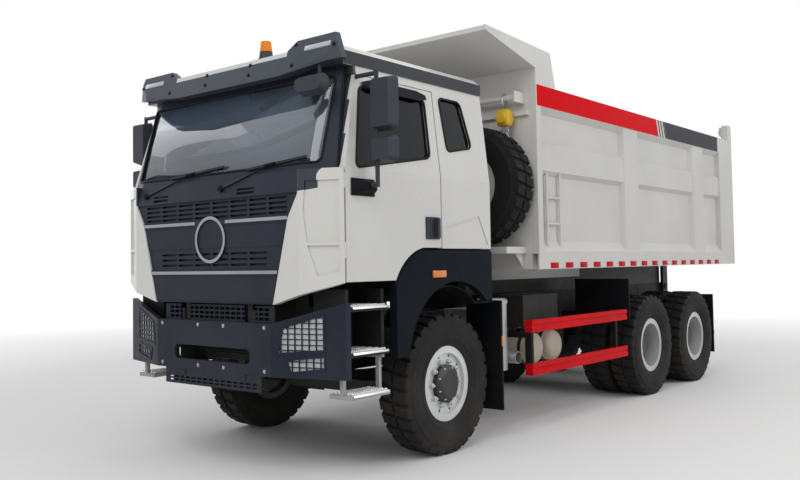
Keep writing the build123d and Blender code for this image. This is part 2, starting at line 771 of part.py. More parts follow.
# Entry steps
step_inner_x = 880.0
step_front_y = front_axle_y - 1240.0
step_rear_y = front_axle_y - 830.0
step_zs = (1220.0, 905.0)
step_low_z = 615.0
step_plate = 30.0
with BuildPart() as entry_steps:
    block(step_inner_x, step_inner_x + step_plate, step_front_y, step_rear_y, step_zs[1] - 60.0, 1340.0)
    for y in (step_front_y, step_rear_y - step_plate):
        prism_x(
            [
                (y, step_zs[1] - 60.0),
                (y + step_plate, step_zs[1] - 60.0),
                (y + step_plate, 1340.0),
                (y, 1340.0),
            ],
            step_inner_x, body_half_width - 60.0,
        )
        block(
            body_half_width - 120.0, body_half_width - 90.0, y, y + step_plate, step_low_z - step_plate,
            step_zs[1] - 30.0,
        )
    for z in step_zs:
        block(step_inner_x, body_half_width - 10.0, step_front_y, step_rear_y, z - step_plate, z)
    block(
        body_half_width - 220.0, body_half_width - 10.0, step_front_y, step_rear_y, step_low_z - step_plate,
        step_low_z,
    )
    block(
        rail_outer_x, step_inner_x, step_front_y + 80.0, step_front_y + 180.0,
        step_zs[1] - 60.0, step_zs[1] + 40.0,
    )
    mirror(about=Plane.YZ)
finish(entry_steps, "entry_steps")

# Tanks and boxes on the frame sides
tank_front_y = front_axle_y + 1330.0
tank_length = 1250.0
tank_inner_x = rail_outer_x + 80.0
tank_outer_x = 1150.0
tank_low_z = 500.0
tank_high_z = 1030.0
with BuildPart() as fuel_tank:
    with BuildSketch(Plane.XZ.offset(-tank_front_y - tank_length)):
        with Locations((-(tank_inner_x + tank_outer_x) / 2, (tank_low_z + tank_high_z) / 2)):
            RectangleRounded(tank_outer_x - tank_inner_x, tank_high_z - tank_low_z, 120.0)
    extrude(amount=tank_length)
    for y in (tank_front_y + 250.0, tank_front_y + tank_length - 250.0):
        block(-tank_inner_x - 20.0, -rail_outer_x, y - 50.0, y + 50.0, rail_bottom_z, rail_bottom_z + 160.0)
finish(fuel_tank, "fuel_tank")

air_tank_radius = 145.0
air_tank_z = 700.0
air_tank_inner_x = 540.0
air_tank_outer_x = 1060.0
air_tank_ys = (front_axle_y + 1560.0, front_axle_y + 1930.0)
tank_dome = 50.0
strap_width = 32.0
strap_thickness = 5.0
with BuildPart() as air_tanks:
    for y in air_tank_ys:
        bar_x(air_tank_inner_x, air_tank_outer_x, y, air_tank_z, air_tank_radius)
    ends = [edge for edge in air_tanks.edges() if edge.geom_type == GeomType.CIRCLE]
    fillet(ends, tank_dome)
    for y in air_tank_ys:
        for x in (air_tank_inner_x + 3 * tank_dome, air_tank_outer_x - 2 * tank_dome):
            bar_x(x - strap_width, x, y, air_tank_z, air_tank_radius + strap_thickness)
        block(
            rail_outer_x, air_tank_inner_x + 2 * tank_dome, y - 50.0, y + 50.0, rail_bottom_z + 20.0,
            rail_bottom_z + 90.0,
        )
finish(air_tanks, "air_tanks")

battery_front_y = front_axle_y + 1420.0
battery_rear_y = front_axle_y + 2080.0
battery_low_z = 905.0
battery_high_z = 1200.0
battery_outer_x = 1000.0
with BuildPart() as battery_box:
    block(rail_outer_x, battery_outer_x, battery_front_y, battery_rear_y, battery_low_z, battery_high_z)
finish(battery_box, "battery_box")

exhaust_front_y = front_axle_y + 760.0
exhaust_rear_y = front_axle_y + 1120.0
exhaust_inner_x = 560.0
exhaust_outer_x = 920.0
exhaust_low_z = 600.0
exhaust_high_z = 1100.0
canister_radius = 128.0
canister_x = 1000.0
canister_y = front_axle_y + 890.0
canister_low_z = 565.0
canister_high_z = 1150.0
lid_lip = 8.0
lid_height = 45.0
tail_pipe_radius = 55.0
tail_pipe_wall = 6.0
tail_pipe_end_x = 1160.0
with BuildPart() as exhaust_box:
    block(exhaust_inner_x, exhaust_outer_x, exhaust_front_y, exhaust_rear_y, exhaust_low_z, exhaust_high_z)
    bar_z(canister_x, canister_y, canister_low_z, canister_high_z, canister_radius)
    bar_z(canister_x, canister_y, canister_high_z, canister_high_z + lid_height, canister_radius + lid_lip)
    chamfer(exhaust_box.faces().sort_by(Axis.Z)[-1].edges(), lid_lip * 2)
    block(
        rail_outer_x, exhaust_inner_x, exhaust_front_y + 100.0, exhaust_front_y + 200.0,
        rail_bottom_z + 60.0, rail_bottom_z + 160.0,
    )
    pipe_y = exhaust_rear_y - tail_pipe_radius - 10.0
    pipe_z = exhaust_low_z + tail_pipe_radius + 10.0
    bar_x(exhaust_outer_x, tail_pipe_end_x, pipe_y, pipe_z, tail_pipe_radius)
    bar_x(
        exhaust_outer_x + tail_pipe_radius, tail_pipe_end_x + tail_pipe_radius, pipe_y, pipe_z,
        tail_pipe_radius - tail_pipe_wall, mode=Mode.SUBTRACT,
    )
finish(exhaust_box, "exhaust_box")

# Side guards
guard_front_y = front_axle_y + 1165.0
guard_rear_y = rear_axle_1_y - axle_z - 115.0
guard_depth = 40.0
guard_height = 108.0
guard_zs = (495.0, 882.0)
guard_post = 40.0
guard_groove = 8.0
guard_wall = 6.0
guard_inner_x = body_half_width - guard_depth
with BuildPart() as side_guards:
    for z in guard_zs:
        guard_section = [
            (body_half_width, z),
            (body_half_width, z + 0.36 * guard_height),
            (body_half_width - guard_groove, z + 0.42 * guard_height),
            (body_half_width - guard_groove, z + 0.58 * guard_height),
            (body_half_width, z + 0.64 * guard_height),
            (body_half_width, z + guard_height),
            (guard_inner_x, z + guard_height),
            (guard_inner_x, z + guard_height - guard_wall),
            (body_half_width - guard_groove - guard_wall, z + guard_height - guard_wall),
            (body_half_width - guard_groove - guard_wall, z + guard_wall),
            (guard_inner_x, z + guard_wall),
            (guard_inner_x, z),
        ]
        prism_y(guard_section, guard_front_y, guard_rear_y)
    for y in (guard_front_y, guard_rear_y - 260.0):
        block(
            guard_inner_x - guard_post, body_half_width - guard_groove - guard_wall,
            y, y + guard_post, guard_zs[0],
            guard_zs[1] + guard_height,
        )
        block(rail_outer_x, guard_inner_x, y, y + guard_post, rail_bottom_z + 60.0, rail_bottom_z + 110.0)
    mirror(about=Plane.YZ)
finish(side_guards, "side_guards")

# Mudguards behind the front wheels and round the tandem
flap_y = front_axle_y + 660.0
flap_thickness = 18.0
flap_inner_x = 880.0
flap_low_z = 260.0
flap_high_z = 1190.0
rear_flap_front_y = rear_axle_1_y - axle_z - 60.0
rear_flap_rear_y = rear_axle_2_y + axle_z + 50.0
rear_flap_inner_x = 610.0
liner_centre_z = 800.0
liner_radius = 528.0
liner_thickness = 12.0
liner_outer_x = cab_core_x - 2 * panel_gap
liner_angles = [math.radians(angle) for angle in range(45, 160, 10)]
liner_rear_y = liner_radius * math.cos(liner_angles[0])
liner_rear_z = liner_centre_z + liner_radius * math.sin(liner_angles[0])


def liner_points(radius, angles):
    """Points (y, z) on an arc over the front wheel."""
    return [
        (front_axle_y + radius * math.cos(angle), liner_centre_z + radius * math.sin(angle)) for angle in angles
    ]


with BuildPart() as mudguards:
    prism_x(
        liner_points(liner_radius, liner_angles)
        + liner_points(liner_radius + liner_thickness, reversed(liner_angles)),
        flap_inner_x, liner_outer_x,
    )
    block(
        flap_inner_x, liner_outer_x, front_axle_y + liner_rear_y, flap_y + flap_thickness, liner_rear_z,
        liner_rear_z + liner_thickness,
    )
    block(flap_inner_x, body_half_width - 5.0, flap_y, flap_y + flap_thickness, flap_low_z, flap_high_z)
    block(
        rail_outer_x, flap_inner_x, flap_y, flap_y + flap_thickness,
        rail_bottom_z + 120.0, rail_bottom_z + 180.0,
    )
    block(
        rear_flap_inner_x, body_half_width, rear_flap_front_y, rear_flap_front_y + flap_thickness,
        axle_z + 330.0, axle_z + 760.0,
    )
    block(
        rail_outer_x, rear_flap_inner_x, rear_flap_front_y, rear_flap_front_y + flap_thickness,
        axle_z + 330.0, axle_z + 400.0,
    )
    block(
        rear_flap_inner_x, body_half_width, rear_flap_rear_y, rear_flap_rear_y + flap_thickness,
        axle_z - 250.0, axle_z + 500.0,
    )
    block(
        rail_outer_x, rear_flap_inner_x, rear_flap_rear_y, rear_flap_rear_y + flap_thickness,
        axle_z + 330.0, axle_z + 400.0,
    )
    mirror(about=Plane.YZ)
finish(mudguards, "mudguards")

# Rear underrun beam with lamp housings
underrun_z = 530.0
underrun_radius = 60.0
underrun_x = 1120.0
tail_lamp_z = 930.0
tail_lamp_inner_x = 640.0
tail_lamp_width = 420.0
tail_lamp_height = 130.0
with BuildPart() as rear_underrun:
    bar_x(-underrun_x, underrun_x, rail_rear_y - 90.0, underrun_z, underrun_radius)
    for sign in (1, -1):
        block(
            sign * (rail_outer_x - rail_flange), sign * rail_outer_x, rail_rear_y - 130.0, rail_rear_y - 50.0,
            underrun_z, rail_bottom_z,
        )
        block(
            sign * rail_outer_x, sign * tail_lamp_inner_x, rail_rear_y - 60.0, rail_rear_y - 20.0,
            tail_lamp_z - 40.0, tail_lamp_z + 40.0,
        )
        block(
            sign * tail_lamp_inner_x, sign * (tail_lamp_inner_x + tail_lamp_width), rail_rear_y - 60.0,
            rail_rear_y + 20.0, tail_lamp_z - tail_lamp_height / 2, tail_lamp_z + tail_lamp_height / 2,
        )
finish(rear_underrun, "rear_underrun")

# Cab floor with pivot ears
cab_front_wall_y = cab_face_y + fascia_depth
cab_front_inner_y = cab_front_wall_y + cab_wall
cab_back_inner_y = cab_rear_y - cab_wall
floor_step_y = front_axle_y - 700.0
ear_inner_x = cab_pin_inner_x + 10.0
ear_outer_x = cab_bracket_x - 8.0
corner_knee_x = 950.0
corner_set = 95.0
with BuildPart() as cab_floor:
    floor_outline = [
        (cab_front_inner_y, cab_low_z),
        (floor_step_y, cab_low_z),
        (floor_step_y, cab_high_floor_z),
        (cab_back_inner_y, cab_high_floor_z),
        (cab_back_inner_y, cab_high_floor_z + cab_floor_thickness),
        (floor_step_y - cab_floor_thickness, cab_high_floor_z + cab_floor_thickness),
        (floor_step_y - cab_floor_thickness, cab_low_z + cab_floor_thickness),
        (cab_front_inner_y, cab_low_z + cab_floor_thickness),
    ]
    prism_x(floor_outline, -cab_core_x, cab_core_x)
    floor_plan = [
        (-cab_core_x, cab_rear_y),
        (-cab_core_x, cab_front_inner_y + corner_set),
        (-corner_knee_x, cab_front_inner_y),
        (corner_knee_x, cab_front_inner_y),
        (cab_core_x, cab_front_inner_y + corner_set),
        (cab_core_x, cab_rear_y),
    ]
    prism_z(floor_plan, cab_low_z - 10.0, belt_z, mode=Mode.INTERSECT)
    for sign in (1, -1):
        block(
            sign * ear_inner_x, sign * ear_outer_x, cab_pivot_y - 50.0, cab_pivot_y + 50.0, cab_pivot_z - 50.0,
            cab_low_z,
        )
        block(
            sign * ear_inner_x, sign * ear_outer_x, cab_pivot_y - 50.0, cab_front_inner_y + 90.0,
            cab_low_z - 40.0, cab_low_z,
        )
        bar_x(
            sign * (ear_inner_x - 10.0), sign * (ear_outer_x + 4.0), cab_pivot_y, cab_pivot_z,
            cab_pin_radius + pin_gap, mode=Mode.SUBTRACT,
        )
finish(cab_floor, "cab_floor")

# Side skin shared by quarter panels and doors, and the front view of the space between the sides
skin_section = [
    (body_half_width, cab_low_z),
    (body_half_width, belt_z),
    (body_half_width - roof_lean, roof_base_z),
    (cab_side_inner_x - roof_lean, roof_base_z),
    (cab_side_inner_x, belt_z),
    (cab_side_inner_x, cab_low_z),
]
quarter_section = [
    (body_half_width, cab_low_z),
    (body_half_width, belt_z),
    (body_half_width - roof_lean, roof_base_z),
    (cab_core_x - roof_lean, roof_base_z),
    (cab_core_x, belt_z),
    (cab_core_x, cab_low_z),
]
core_view = [
    (-cab_core_x, cab_low_z),
    (cab_core_x, cab_low_z),
    (cab_core_x, belt_z),
    (cab_core_x - roof_lean, roof_base_z),
    (-cab_core_x + roof_lean, roof_base_z),
    (-cab_core_x, belt_z),
]

# Cab back wall
with BuildPart() as cab_back:
    prism_y(core_view, cab_back_inner_y, cab_rear_y)
    block(
        -body_half_width, body_half_width, cab_back_inner_y - 10.0, cab_rear_y + 10.0, cab_low_z - 10.0,
        cab_high_floor_z, mode=Mode.SUBTRACT,
    )
finish(cab_back, "cab_back")

# Quarter panels behind the doors with the headers over them
header_z = door_top_z + panel_gap
header_front_y = front_axle_y - 1100.0
quarter_outline = [
    (door_rear_y + 2 * panel_gap, arch_top_z),
    (cab_rear_y, arch_top_z),
    (cab_rear_y, roof_base_z),
    (header_front_y, roof_base_z),
    (header_front_y, header_z),
    (door_rear_y + 2 * panel_gap, header_z),
]
glass_band = roof_base_z - belt_z
quarter_sills = (22 / 75 * glass_band, 28 / 75 * glass_band)
quarter_head = 2 / 15 * glass_band
door_sills = (glass_band / 75, glass_band / 5)
door_head = 8 / 75 * glass_band
quarter_window = [
    (front_axle_y - 60.0, belt_z + quarter_sills[0]),
    (front_axle_y + 290.0, belt_z + quarter_sills[1]),
    (front_axle_y + 185.0, roof_base_z - quarter_head),
    (front_axle_y - 105.0, roof_base_z - quarter_head),
]
door_window = [
    (front_axle_y - 1175.0, belt_z + door_sills[0]),
    (front_axle_y - 300.0, belt_z + door_sills[1]),
    (front_axle_y - 300.0, door_top_z - door_head),
    (front_axle_y - 1060.0, door_top_z - door_head),
]
quarter_emboss = [
    (front_axle_y - 120.0, 1800.0),
    (front_axle_y + 340.0, 1900.0),
    (front_axle_y + 470.0, 1665.0),
    (front_axle_y - 120.0, 1665.0),
]
emboss_depth = 8.0


def window_cut(points, inset, mode):
    """Outline of (y, z) points with round corners, moved inwards by inset, cut from or kept of the builder."""
    with BuildSketch(Plane.YZ) as outline:
        add(inset_face(points, inset))
        fillet(outline.vertices(), window_corner - inset)
    extrude(outline.sketch, amount=2 * body_half_width, dir=(1, 0, 0), both=True, mode=mode)


glass_thickness = 12.0
glass_inset = 14.0
glass_section = [
    (body_half_width - glass_inset, belt_z - 100.0),
    (body_half_width - glass_inset, belt_z),
    (body_half_width - glass_inset - roof_lean, roof_base_z),
    (body_half_width - glass_inset - glass_thickness - roof_lean, roof_base_z),
    (body_half_width - glass_inset - glass_thickness, belt_z),
    (body_half_width - glass_inset - glass_thickness, belt_z - 100.0),
]
with BuildPart() as cab_sides:
    prism_y(quarter_section, header_front_y - 10.0, cab_rear_y)
    prism_x(quarter_outline, 0, 2 * body_half_width, mode=Mode.INTERSECT)
    window_cut(quarter_window, 0.0, Mode.SUBTRACT)
    prism_x(quarter_emboss, body_half_width - emboss_depth, 2 * body_half_width, mode=Mode.SUBTRACT)
    mirror(about=Plane.YZ)
finish(cab_sides, "cab_sides")

# Roof
screen_top_y = cab_front_wall_y + windscreen_rake
roof_edge_x = body_half_width - roof_lean
roof_side = 95.0
with BuildPart() as cab_roof:
    roof_section = [
        (roof_edge_x, roof_base_z),
        (roof_edge_x, roof_base_z + roof_side),
        (roof_edge_x - 60.0, roof_top_z - 20.0),
        (roof_edge_x - 200.0, roof_top_z),
        (-roof_edge_x + 200.0, roof_top_z),
        (-roof_edge_x + 60.0, roof_top_z - 20.0),
        (-roof_edge_x, roof_base_z + roof_side),
        (-roof_edge_x, roof_base_z),
    ]
    prism_y(roof_section, screen_top_y, cab_rear_y)
finish(cab_roof, "cab_roof")

# Front wall with windscreen pillars
screen_low_z = belt_z + 50.0
screen_high_z = roof_base_z - 70.0
screen_half_width = cab_core_x - 114.0


def front_plan(inset, back):
    """Plan outline of the cab's front wall or glass, inset from its outer face, as thick as back - inset."""
    outer = [
        (cab_core_x, corner_set), (corner_knee_x, 0.0), (-corner_knee_x, 0.0), (-cab_core_x, corner_set),
    ]
    near = [(x, cab_front_wall_y + y + inset) for x, y in outer]
    far = [(x, cab_front_wall_y + y + back) for x, y in reversed(outer)]
    return near + far


def front_shell(inset, back, low_z):
    """Solid between two plan outlines: upright to the belt, then raked back to the roof."""
    with BuildPart() as shell:
        if low_z < belt_z:
            with BuildSketch(Plane.XY.offset(low_z)):
                Polygon(*front_plan(inset, back), align=None)
            extrude(amount=belt_z - low_z, dir=(0, 0, 1))
        with BuildSketch(Plane.XY.offset(belt_z)):
            Polygon(*front_plan(inset, back), align=None)
        with BuildSketch(Plane.XY.offset(roof_base_z)):
            Polygon(*[(x, y + windscreen_rake) for x, y in front_plan(inset, back)], align=None)
        loft(ruled=True)
    return shell.part


with BuildPart() as cab_front:
    add(front_shell(0.0, cab_wall, cab_low_z))
    prism_y(core_view, cab_face_y - 10.0, front_axle_y, mode=Mode.INTERSECT)
    with BuildSketch(Plane.XZ.offset(-front_axle_y)):
        with Locations((0, (screen_low_z + screen_high_z) / 2)):
            RectangleRounded(2 * screen_half_width, screen_high_z - screen_low_z, 60.0)
    extrude(amount=2 * front_overhang, dir=(0, -1, 0), mode=Mode.SUBTRACT)
finish(cab_front, "cab_front")

# Windows of the cab
with BuildPart() as windscreen:
    add(front_shell(glass_inset, glass_inset + glass_thickness, belt_z))
    with BuildSketch(Plane.XZ.offset(-front_axle_y)):
        with Locations((0, (screen_low_z + screen_high_z) / 2)):
            RectangleRounded(
                2 * screen_half_width - 2 * seat_gap, screen_high_z - screen_low_z - 2 * seat_gap, 60.0,
            )
    extrude(amount=2 * front_overhang, dir=(0, -1, 0), mode=Mode.INTERSECT)
finish(windscreen, "windscreen")
with BuildPart() as quarter_windows:
    prism_y(glass_section, header_front_y, cab_rear_y)
    window_cut(quarter_window, seat_gap, Mode.INTERSECT)
    mirror(about=Plane.YZ)
finish(quarter_windows, "quarter_windows")

# Front fascia with ridges, slotted bands, a round pocket and two recessed grab bars
fascia_low_z = 1240.0
fascia_half_low = 690.0
fascia_half_mid = 850.0
fascia_mid_z = 1850.0
fascia_half_top = 945.0
fascia_shoulder_z = 2010.0
strip_zs = (1470.0, fascia_mid_z)
ridge_half = 18.0
ridge_height = 14.0
panel_set = 9.0
cowl_lip_z = 2024.0
cowl_lean = 36.0
slot_pitch = 210.0
slot_rib = 22.0
slot_height = 17.0
slot_depth = 40.0
slot_bands = ((1507.0, 1632.0, 3, 6), (1873.0, 2014.0, 4, 8))
ring_z = 1720.0
ring_radius = 178.0
grab_bars = ((-730.0, -540.0), (300.0, 490.0))
grab_z = 2066.0
grab_pocket = 46.0
grab_radius = 9.0
with BuildPart() as front_fascia:
    fascia_side = [
        (cab_face_y + 2 * panel_set, fascia_low_z),
        (cab_face_y + panel_set, fascia_low_z + 2 * panel_set),
        (cab_face_y + panel_set, strip_zs[0] - 2 * ridge_half),
        (cab_face_y, strip_zs[0] - ridge_half),
        (cab_face_y, strip_zs[0] + ridge_half),
        (cab_face_y + ridge_height, strip_zs[0] + 1.5 * ridge_half),
        (cab_face_y + ridge_height, slot_bands[0][1] + ridge_height),
        (cab_face_y + panel_set, slot_bands[0][1] + 2 * ridge_height),
        (cab_face_y + panel_set, strip_zs[1] - 2 * ridge_half),
        (cab_face_y, strip_zs[1] - ridge_half),
        (cab_face_y, strip_zs[1] + ridge_half),
        (cab_face_y + ridge_height, strip_zs[1] + 1.3 * ridge_half),
        (cab_face_y + ridge_height, slot_bands[1][1]),
        (cab_face_y + slip_gap, cowl_lip_z),
        (cab_face_y + cowl_lean, belt_z),
        (cab_front_wall_y, belt_z),
        (cab_front_wall_y, fascia_low_z),
    ]
    prism_x(fascia_side, -fascia_half_top, fascia_half_top)
    fascia_view = [
        (-fascia_half_low, fascia_low_z),
        (fascia_half_low, fascia_low_z),
        (fascia_half_mid, fascia_mid_z),
        (fascia_half_top, fascia_shoulder_z),
        (fascia_half_top, belt_z),
        (-fascia_half_top, belt_z),
        (-fascia_half_top, fascia_shoulder_z),
        (-fascia_half_mid, fascia_mid_z),
    ]
    prism_y(fascia_view, nose_y, front_axle_y, mode=Mode.INTERSECT)
    for band_low_z, band_high_z, rows, columns in slot_bands:
        slot_grid(
            (0, (band_low_z + band_high_z) / 2), (slot_pitch, (band_high_z - band_low_z) / rows),
            (slot_pitch - slot_rib, slot_height), (columns, rows), nose_y, cab_face_y + slot_depth,
        )
    bar_y(0, nose_y, cab_face_y + panel_set, ring_z, ring_radius, mode=Mode.SUBTRACT)
    for bar_start_x, bar_end_x in grab_bars:
        block(
            bar_start_x, bar_end_x, nose_y, cab_face_y + slot_depth, grab_z - grab_pocket / 2,
            grab_z + grab_pocket / 2, mode=Mode.SUBTRACT,
        )
        bar_x(
            bar_start_x - slip_gap, bar_end_x + slip_gap, cab_face_y + grab_radius + panel_set,
            grab_z, grab_radius,
        )
finish(front_fascia, "front_fascia")

# Bright strips and plain ring on the fascia
strip_half = 12.0
strip_proud = 4.0
strip_half_widths = (741.0, fascia_half_mid - slip_gap)
ring_width = 24.0
with BuildPart() as grille_trim:
    block(
        -strip_half_widths[0], strip_half_widths[0], cab_face_y - strip_proud, cab_face_y,
        strip_zs[0] - strip_half, strip_zs[0] + strip_half,
    )
    for sign in (1, -1):
        block(
            sign * (ring_radius + slip_gap), sign * strip_half_widths[1], cab_face_y - strip_proud, cab_face_y,
            strip_zs[1] - strip_half, strip_zs[1] + strip_half,
        )
    bar_y(0, cab_face_y - strip_proud, cab_face_y + panel_set, ring_z, ring_radius - seat_gap)
    bar_y(0, nose_y, cab_front_wall_y, ring_z, ring_radius - ring_width, mode=Mode.SUBTRACT)
finish(grille_trim, "grille_trim")

# White corner panels
corner_end_y = front_axle_y - 1320.0
corner_back_y = door_front_y - 2 * door_hinge_radius
corner_outer_low_z = cab_low_z
corner_start_x = corner_knee_x + 10.0
corner_run = Vector(body_half_width - corner_start_x, corner_end_y - cab_face_y, 0)
corner_rim = corner_run.length - 25.0
corner_plane = Plane(
    origin=(corner_start_x, cab_face_y, 0), x_dir=corner_run, z_dir=Vector(corner_run.Y, -corner_run.X, 0),
)
corner_pocket_depth = 14.0
corner_pockets = (
    [(44.0, 2100.0), (28.0, 1900.0), (55.0, 1672.0), (corner_rim, 1672.0), (corner_rim, 2100.0)],
    [(58.0, 1650.0), (133.0, 1440.0), (corner_rim, 1470.0), (corner_rim, 1650.0)],
)
with BuildPart() as corner_panels:
    corner_plan = [
        (fascia_half_low, cab_face_y),
        (corner_start_x, cab_face_y),
        (body_half_width, corner_end_y),
        (body_half_width, corner_back_y),
        (cab_core_x, corner_back_y),
        (cab_core_x, cab_front_wall_y + corner_set),
        (corner_knee_x, cab_front_wall_y),
        (fascia_half_low, cab_front_wall_y),
    ]
    prism_z(corner_plan, fascia_low_z, belt_z)
    corner_view = [
        (fascia_half_low, fascia_low_z),
        (body_half_width, corner_outer_low_z),
        (body_half_width, belt_z),
        (fascia_half_top, belt_z),
        (fascia_half_top, fascia_shoulder_z),
        (fascia_half_mid, fascia_mid_z),
    ]
    prism_y(corner_view, cab_face_y - 10.0, corner_back_y + 10.0, mode=Mode.INTERSECT)
    for pocket in corner_pockets:
        with BuildSketch(corner_plane):
            Polygon(*pocket, align=None)
        extrude(amount=-corner_pocket_depth, mode=Mode.SUBTRACT)
    mirror(about=Plane.YZ)
finish(corner_panels, "corner_panels")

# Visor over the windscreen
visor_low_y = screen_top_y - 105.0
visor_top_y = screen_top_y - 45.0
visor_low_z = roof_base_z - 25.0
visor_end_low_z = roof_base_z + 30.0
visor_mid_top_z = roof_top_z - 15.0
visor_end_top_z = roof_top_z + 55.0
visor_half_width = roof_edge_x + 30.0
visor_sweep = 60.0
visor_flat_x = 600.0
visor_back_y = screen_top_y - (roof_base_z - visor_low_z) * windscreen_rake / (roof_base_z - belt_z)
with BuildPart() as roof_visor:
    visor_side = [
        (visor_low_y, visor_low_z),
        (visor_back_y, visor_low_z),
        (screen_top_y, roof_base_z),
        (screen_top_y, visor_end_top_z),
        (visor_top_y, visor_end_top_z),
    ]
    prism_x(visor_side, -visor_half_width, visor_half_width)
    visor_view = [
        (-visor_half_width, visor_end_low_z),
        (-visor_flat_x, visor_low_z),
        (visor_flat_x, visor_low_z),
        (visor_half_width, visor_end_low_z),
        (visor_half_width - 60.0, visor_end_top_z),
        (750.0, visor_end_top_z),
        (650.0, visor_mid_top_z),
        (-650.0, visor_mid_top_z),
        (-750.0, visor_end_top_z),
        (-visor_half_width + 60.0, visor_end_top_z),
    ]
    prism_y(visor_view, visor_low_y - 10.0, screen_top_y + 10.0, mode=Mode.INTERSECT)
    visor_plan = [
        (-visor_half_width, screen_top_y),
        (-visor_half_width, visor_low_y + visor_sweep),
        (-visor_half_width + 2 * visor_sweep, visor_low_y + visor_sweep / 3),
        (-visor_flat_x, visor_low_y),
        (visor_flat_x, visor_low_y),
        (visor_half_width - 2 * visor_sweep, visor_low_y + visor_sweep / 3),
        (visor_half_width, visor_low_y + visor_sweep),
        (visor_half_width, screen_top_y),
    ]
    prism_z(visor_plan, visor_low_z, visor_end_top_z, mode=Mode.INTERSECT)
finish(roof_visor, "roof_visor")

# Wheel-arch flares
arch_radius = 620.0
arch_centre_z = 750.0
arch_inner_x = cab_core_x + 1.0
arch_outer_x = body_half_width + 5.0
arch_rear_y = cab_rear_y
arch_front_low_z = 830.0
arch_rear_low_z = 1200.0
arch_bevel = 22.0


def arch_curve(rise):
    """Start, middle and end (y, z) of the curve between door and flare, moved up by rise."""
    start = Vector(door_step_y, cab_low_z + rise)
    end = Vector(door_arch_y, arch_top_z + rise)
    chord = end - start
    bulge = Vector(-chord.Y, chord.X) * (arch_bulge / chord.length)
    middle = (start + end) * 0.5 + bulge
    return (start.X, start.Y), (middle.X, middle.Y), (end.X, end.Y)


with BuildPart() as wheel_arches:
    curve_start, curve_middle, curve_end = arch_curve(-panel_gap)
    arch_outline = [
        curve_end,
        (arch_rear_y, arch_top_z - panel_gap),
        (arch_rear_y, arch_rear_low_z),
        (front_axle_y, arch_rear_low_z),
        (front_axle_y, arch_front_low_z),
        (door_step_y, arch_front_low_z),
        curve_start,
    ]
    arched_prism(arch_outline, curve_middle, arch_inner_x, arch_outer_x)
    outer_face = wheel_arches.faces().sort_by(Axis.X)[-1]
    rim_edges = [
        edge for edge in outer_face.edges()
        if edge.center().Z > arch_rear_low_z + arch_bevel and edge.center().Y < front_axle_y + arch_radius / 2
    ]
    chamfer(rim_edges, arch_bevel)
    block(
        arch_inner_x - 200.0, arch_inner_x + 10.0, door_arch_y, arch_rear_y, cab_high_floor_z - 40.0,
        cab_high_floor_z - seat_gap,
    )
    bar_x(
        arch_inner_x - 50.0, body_half_width + 50.0, front_axle_y, arch_centre_z, arch_radius,
        mode=Mode.SUBTRACT,
    )
    mirror(about=Plane.YZ)
finish(wheel_arches, "wheel_arches")

# Outer fittings of the cab: roof bands, wipers, corner mirror and beacon
band_thickness = 10.0
wipers = ((120.0, 370.0, 620.0, 980.0), (-830.0, -550.0, -300.0, 90.0))
wiper_pivot_z = belt_z - 80.0
wiper_low_z = belt_z + 45.0
wiper_rise = 45.0
wiper_radius = 6.0
wiper_stand = 16.0
arm_stand = 26.0
pivot_radius = 16.0
pivot_length = 16.0
corner_mirror = (985.0, front_axle_y - 1390.0, belt_z + 600.0)
corner_mirror_size = (300.0, 150.0)
corner_mirror_depth = 70.0
corner_mirror_post = 14.0
beacon_x = 147.0
beacon_y = front_axle_y - 1000.0
beacon_radius = 58.0
beacon_base = 60.0
beacon_height = 200.0


def screen_y(z):
    """Y of the windscreen frame's outer face at a height above the belt."""
    return cab_front_wall_y + windscreen_rake * (z - belt_z) / (roof_base_z - belt_z)


with BuildPart() as cab_fittings:
    for sign in (1, -1):
        block(
            sign * (roof_edge_x + seat_gap), sign * (roof_edge_x + band_thickness), screen_top_y + panel_gap,
            cab_rear_y, roof_base_z + slip_gap, roof_base_z + roof_side - slip_gap,
        )
    cowl_slope = (cowl_lean - slip_gap) / (belt_z - cowl_lip_z)
    pivot_y = cab_face_y + slip_gap + cowl_slope * (wiper_pivot_z - pivot_radius - cowl_lip_z) - seat_gap
    for pivot_x, blade_start_x, joint_x, blade_end_x in wipers:
        blade_slope = wiper_rise / (blade_end_x - blade_start_x)
        ends = []
        for x, stand in ((blade_start_x, wiper_stand), (joint_x, arm_stand), (blade_end_x, wiper_stand)):
            z = wiper_low_z + blade_slope * (x - blade_start_x)
            ends.append((x, screen_y(z) - stand, z))
        bar_y(pivot_x, pivot_y - pivot_length, pivot_y, wiper_pivot_z, pivot_radius)
        rod((pivot_x, pivot_y - pivot_length + wiper_radius, wiper_pivot_z), ends[1], wiper_radius)
        rod(ends[0], ends[2], wiper_radius)
    with BuildSketch(Plane.XZ.offset(-corner_mirror[1] - corner_mirror_depth)):
        with Locations((corner_mirror[0], corner_mirror[2])):
            RectangleRounded(corner_mirror_size[0], corner_mirror_size[1], corner_mirror_size[1] / 2.1)
    extrude(amount=corner_mirror_depth, taper=20)
    visor_slope = (visor_end_low_z - visor_low_z) / (visor_half_width - visor_flat_x)
    post_y = visor_low_y + visor_sweep - corner_mirror_post
    post_top_z = visor_low_z + visor_slope * (corner_mirror[0] - corner_mirror_post - visor_flat_x) - seat_gap
    bar_z(corner_mirror[0], post_y, corner_mirror[2] - 2 * corner_mirror_post, post_top_z, corner_mirror_post)
    bar_y(
        corner_mirror[0], corner_mirror[1] + corner_mirror_depth / 2, post_y, corner_mirror[2],
        corner_mirror_post - slip_gap,
    )
    bar_z(beacon_x, beacon_y, roof_top_z + seat_gap, roof_top_z + beacon_base, beacon_radius + band_thickness)
    with Locations((beacon_x, beacon_y, roof_top_z + (beacon_base + beacon_height) / 2)):
        Cone(beacon_radius, 0.7 * beacon_radius, beacon_height - beacon_base)
finish(cab_fittings, "cab_fittings")

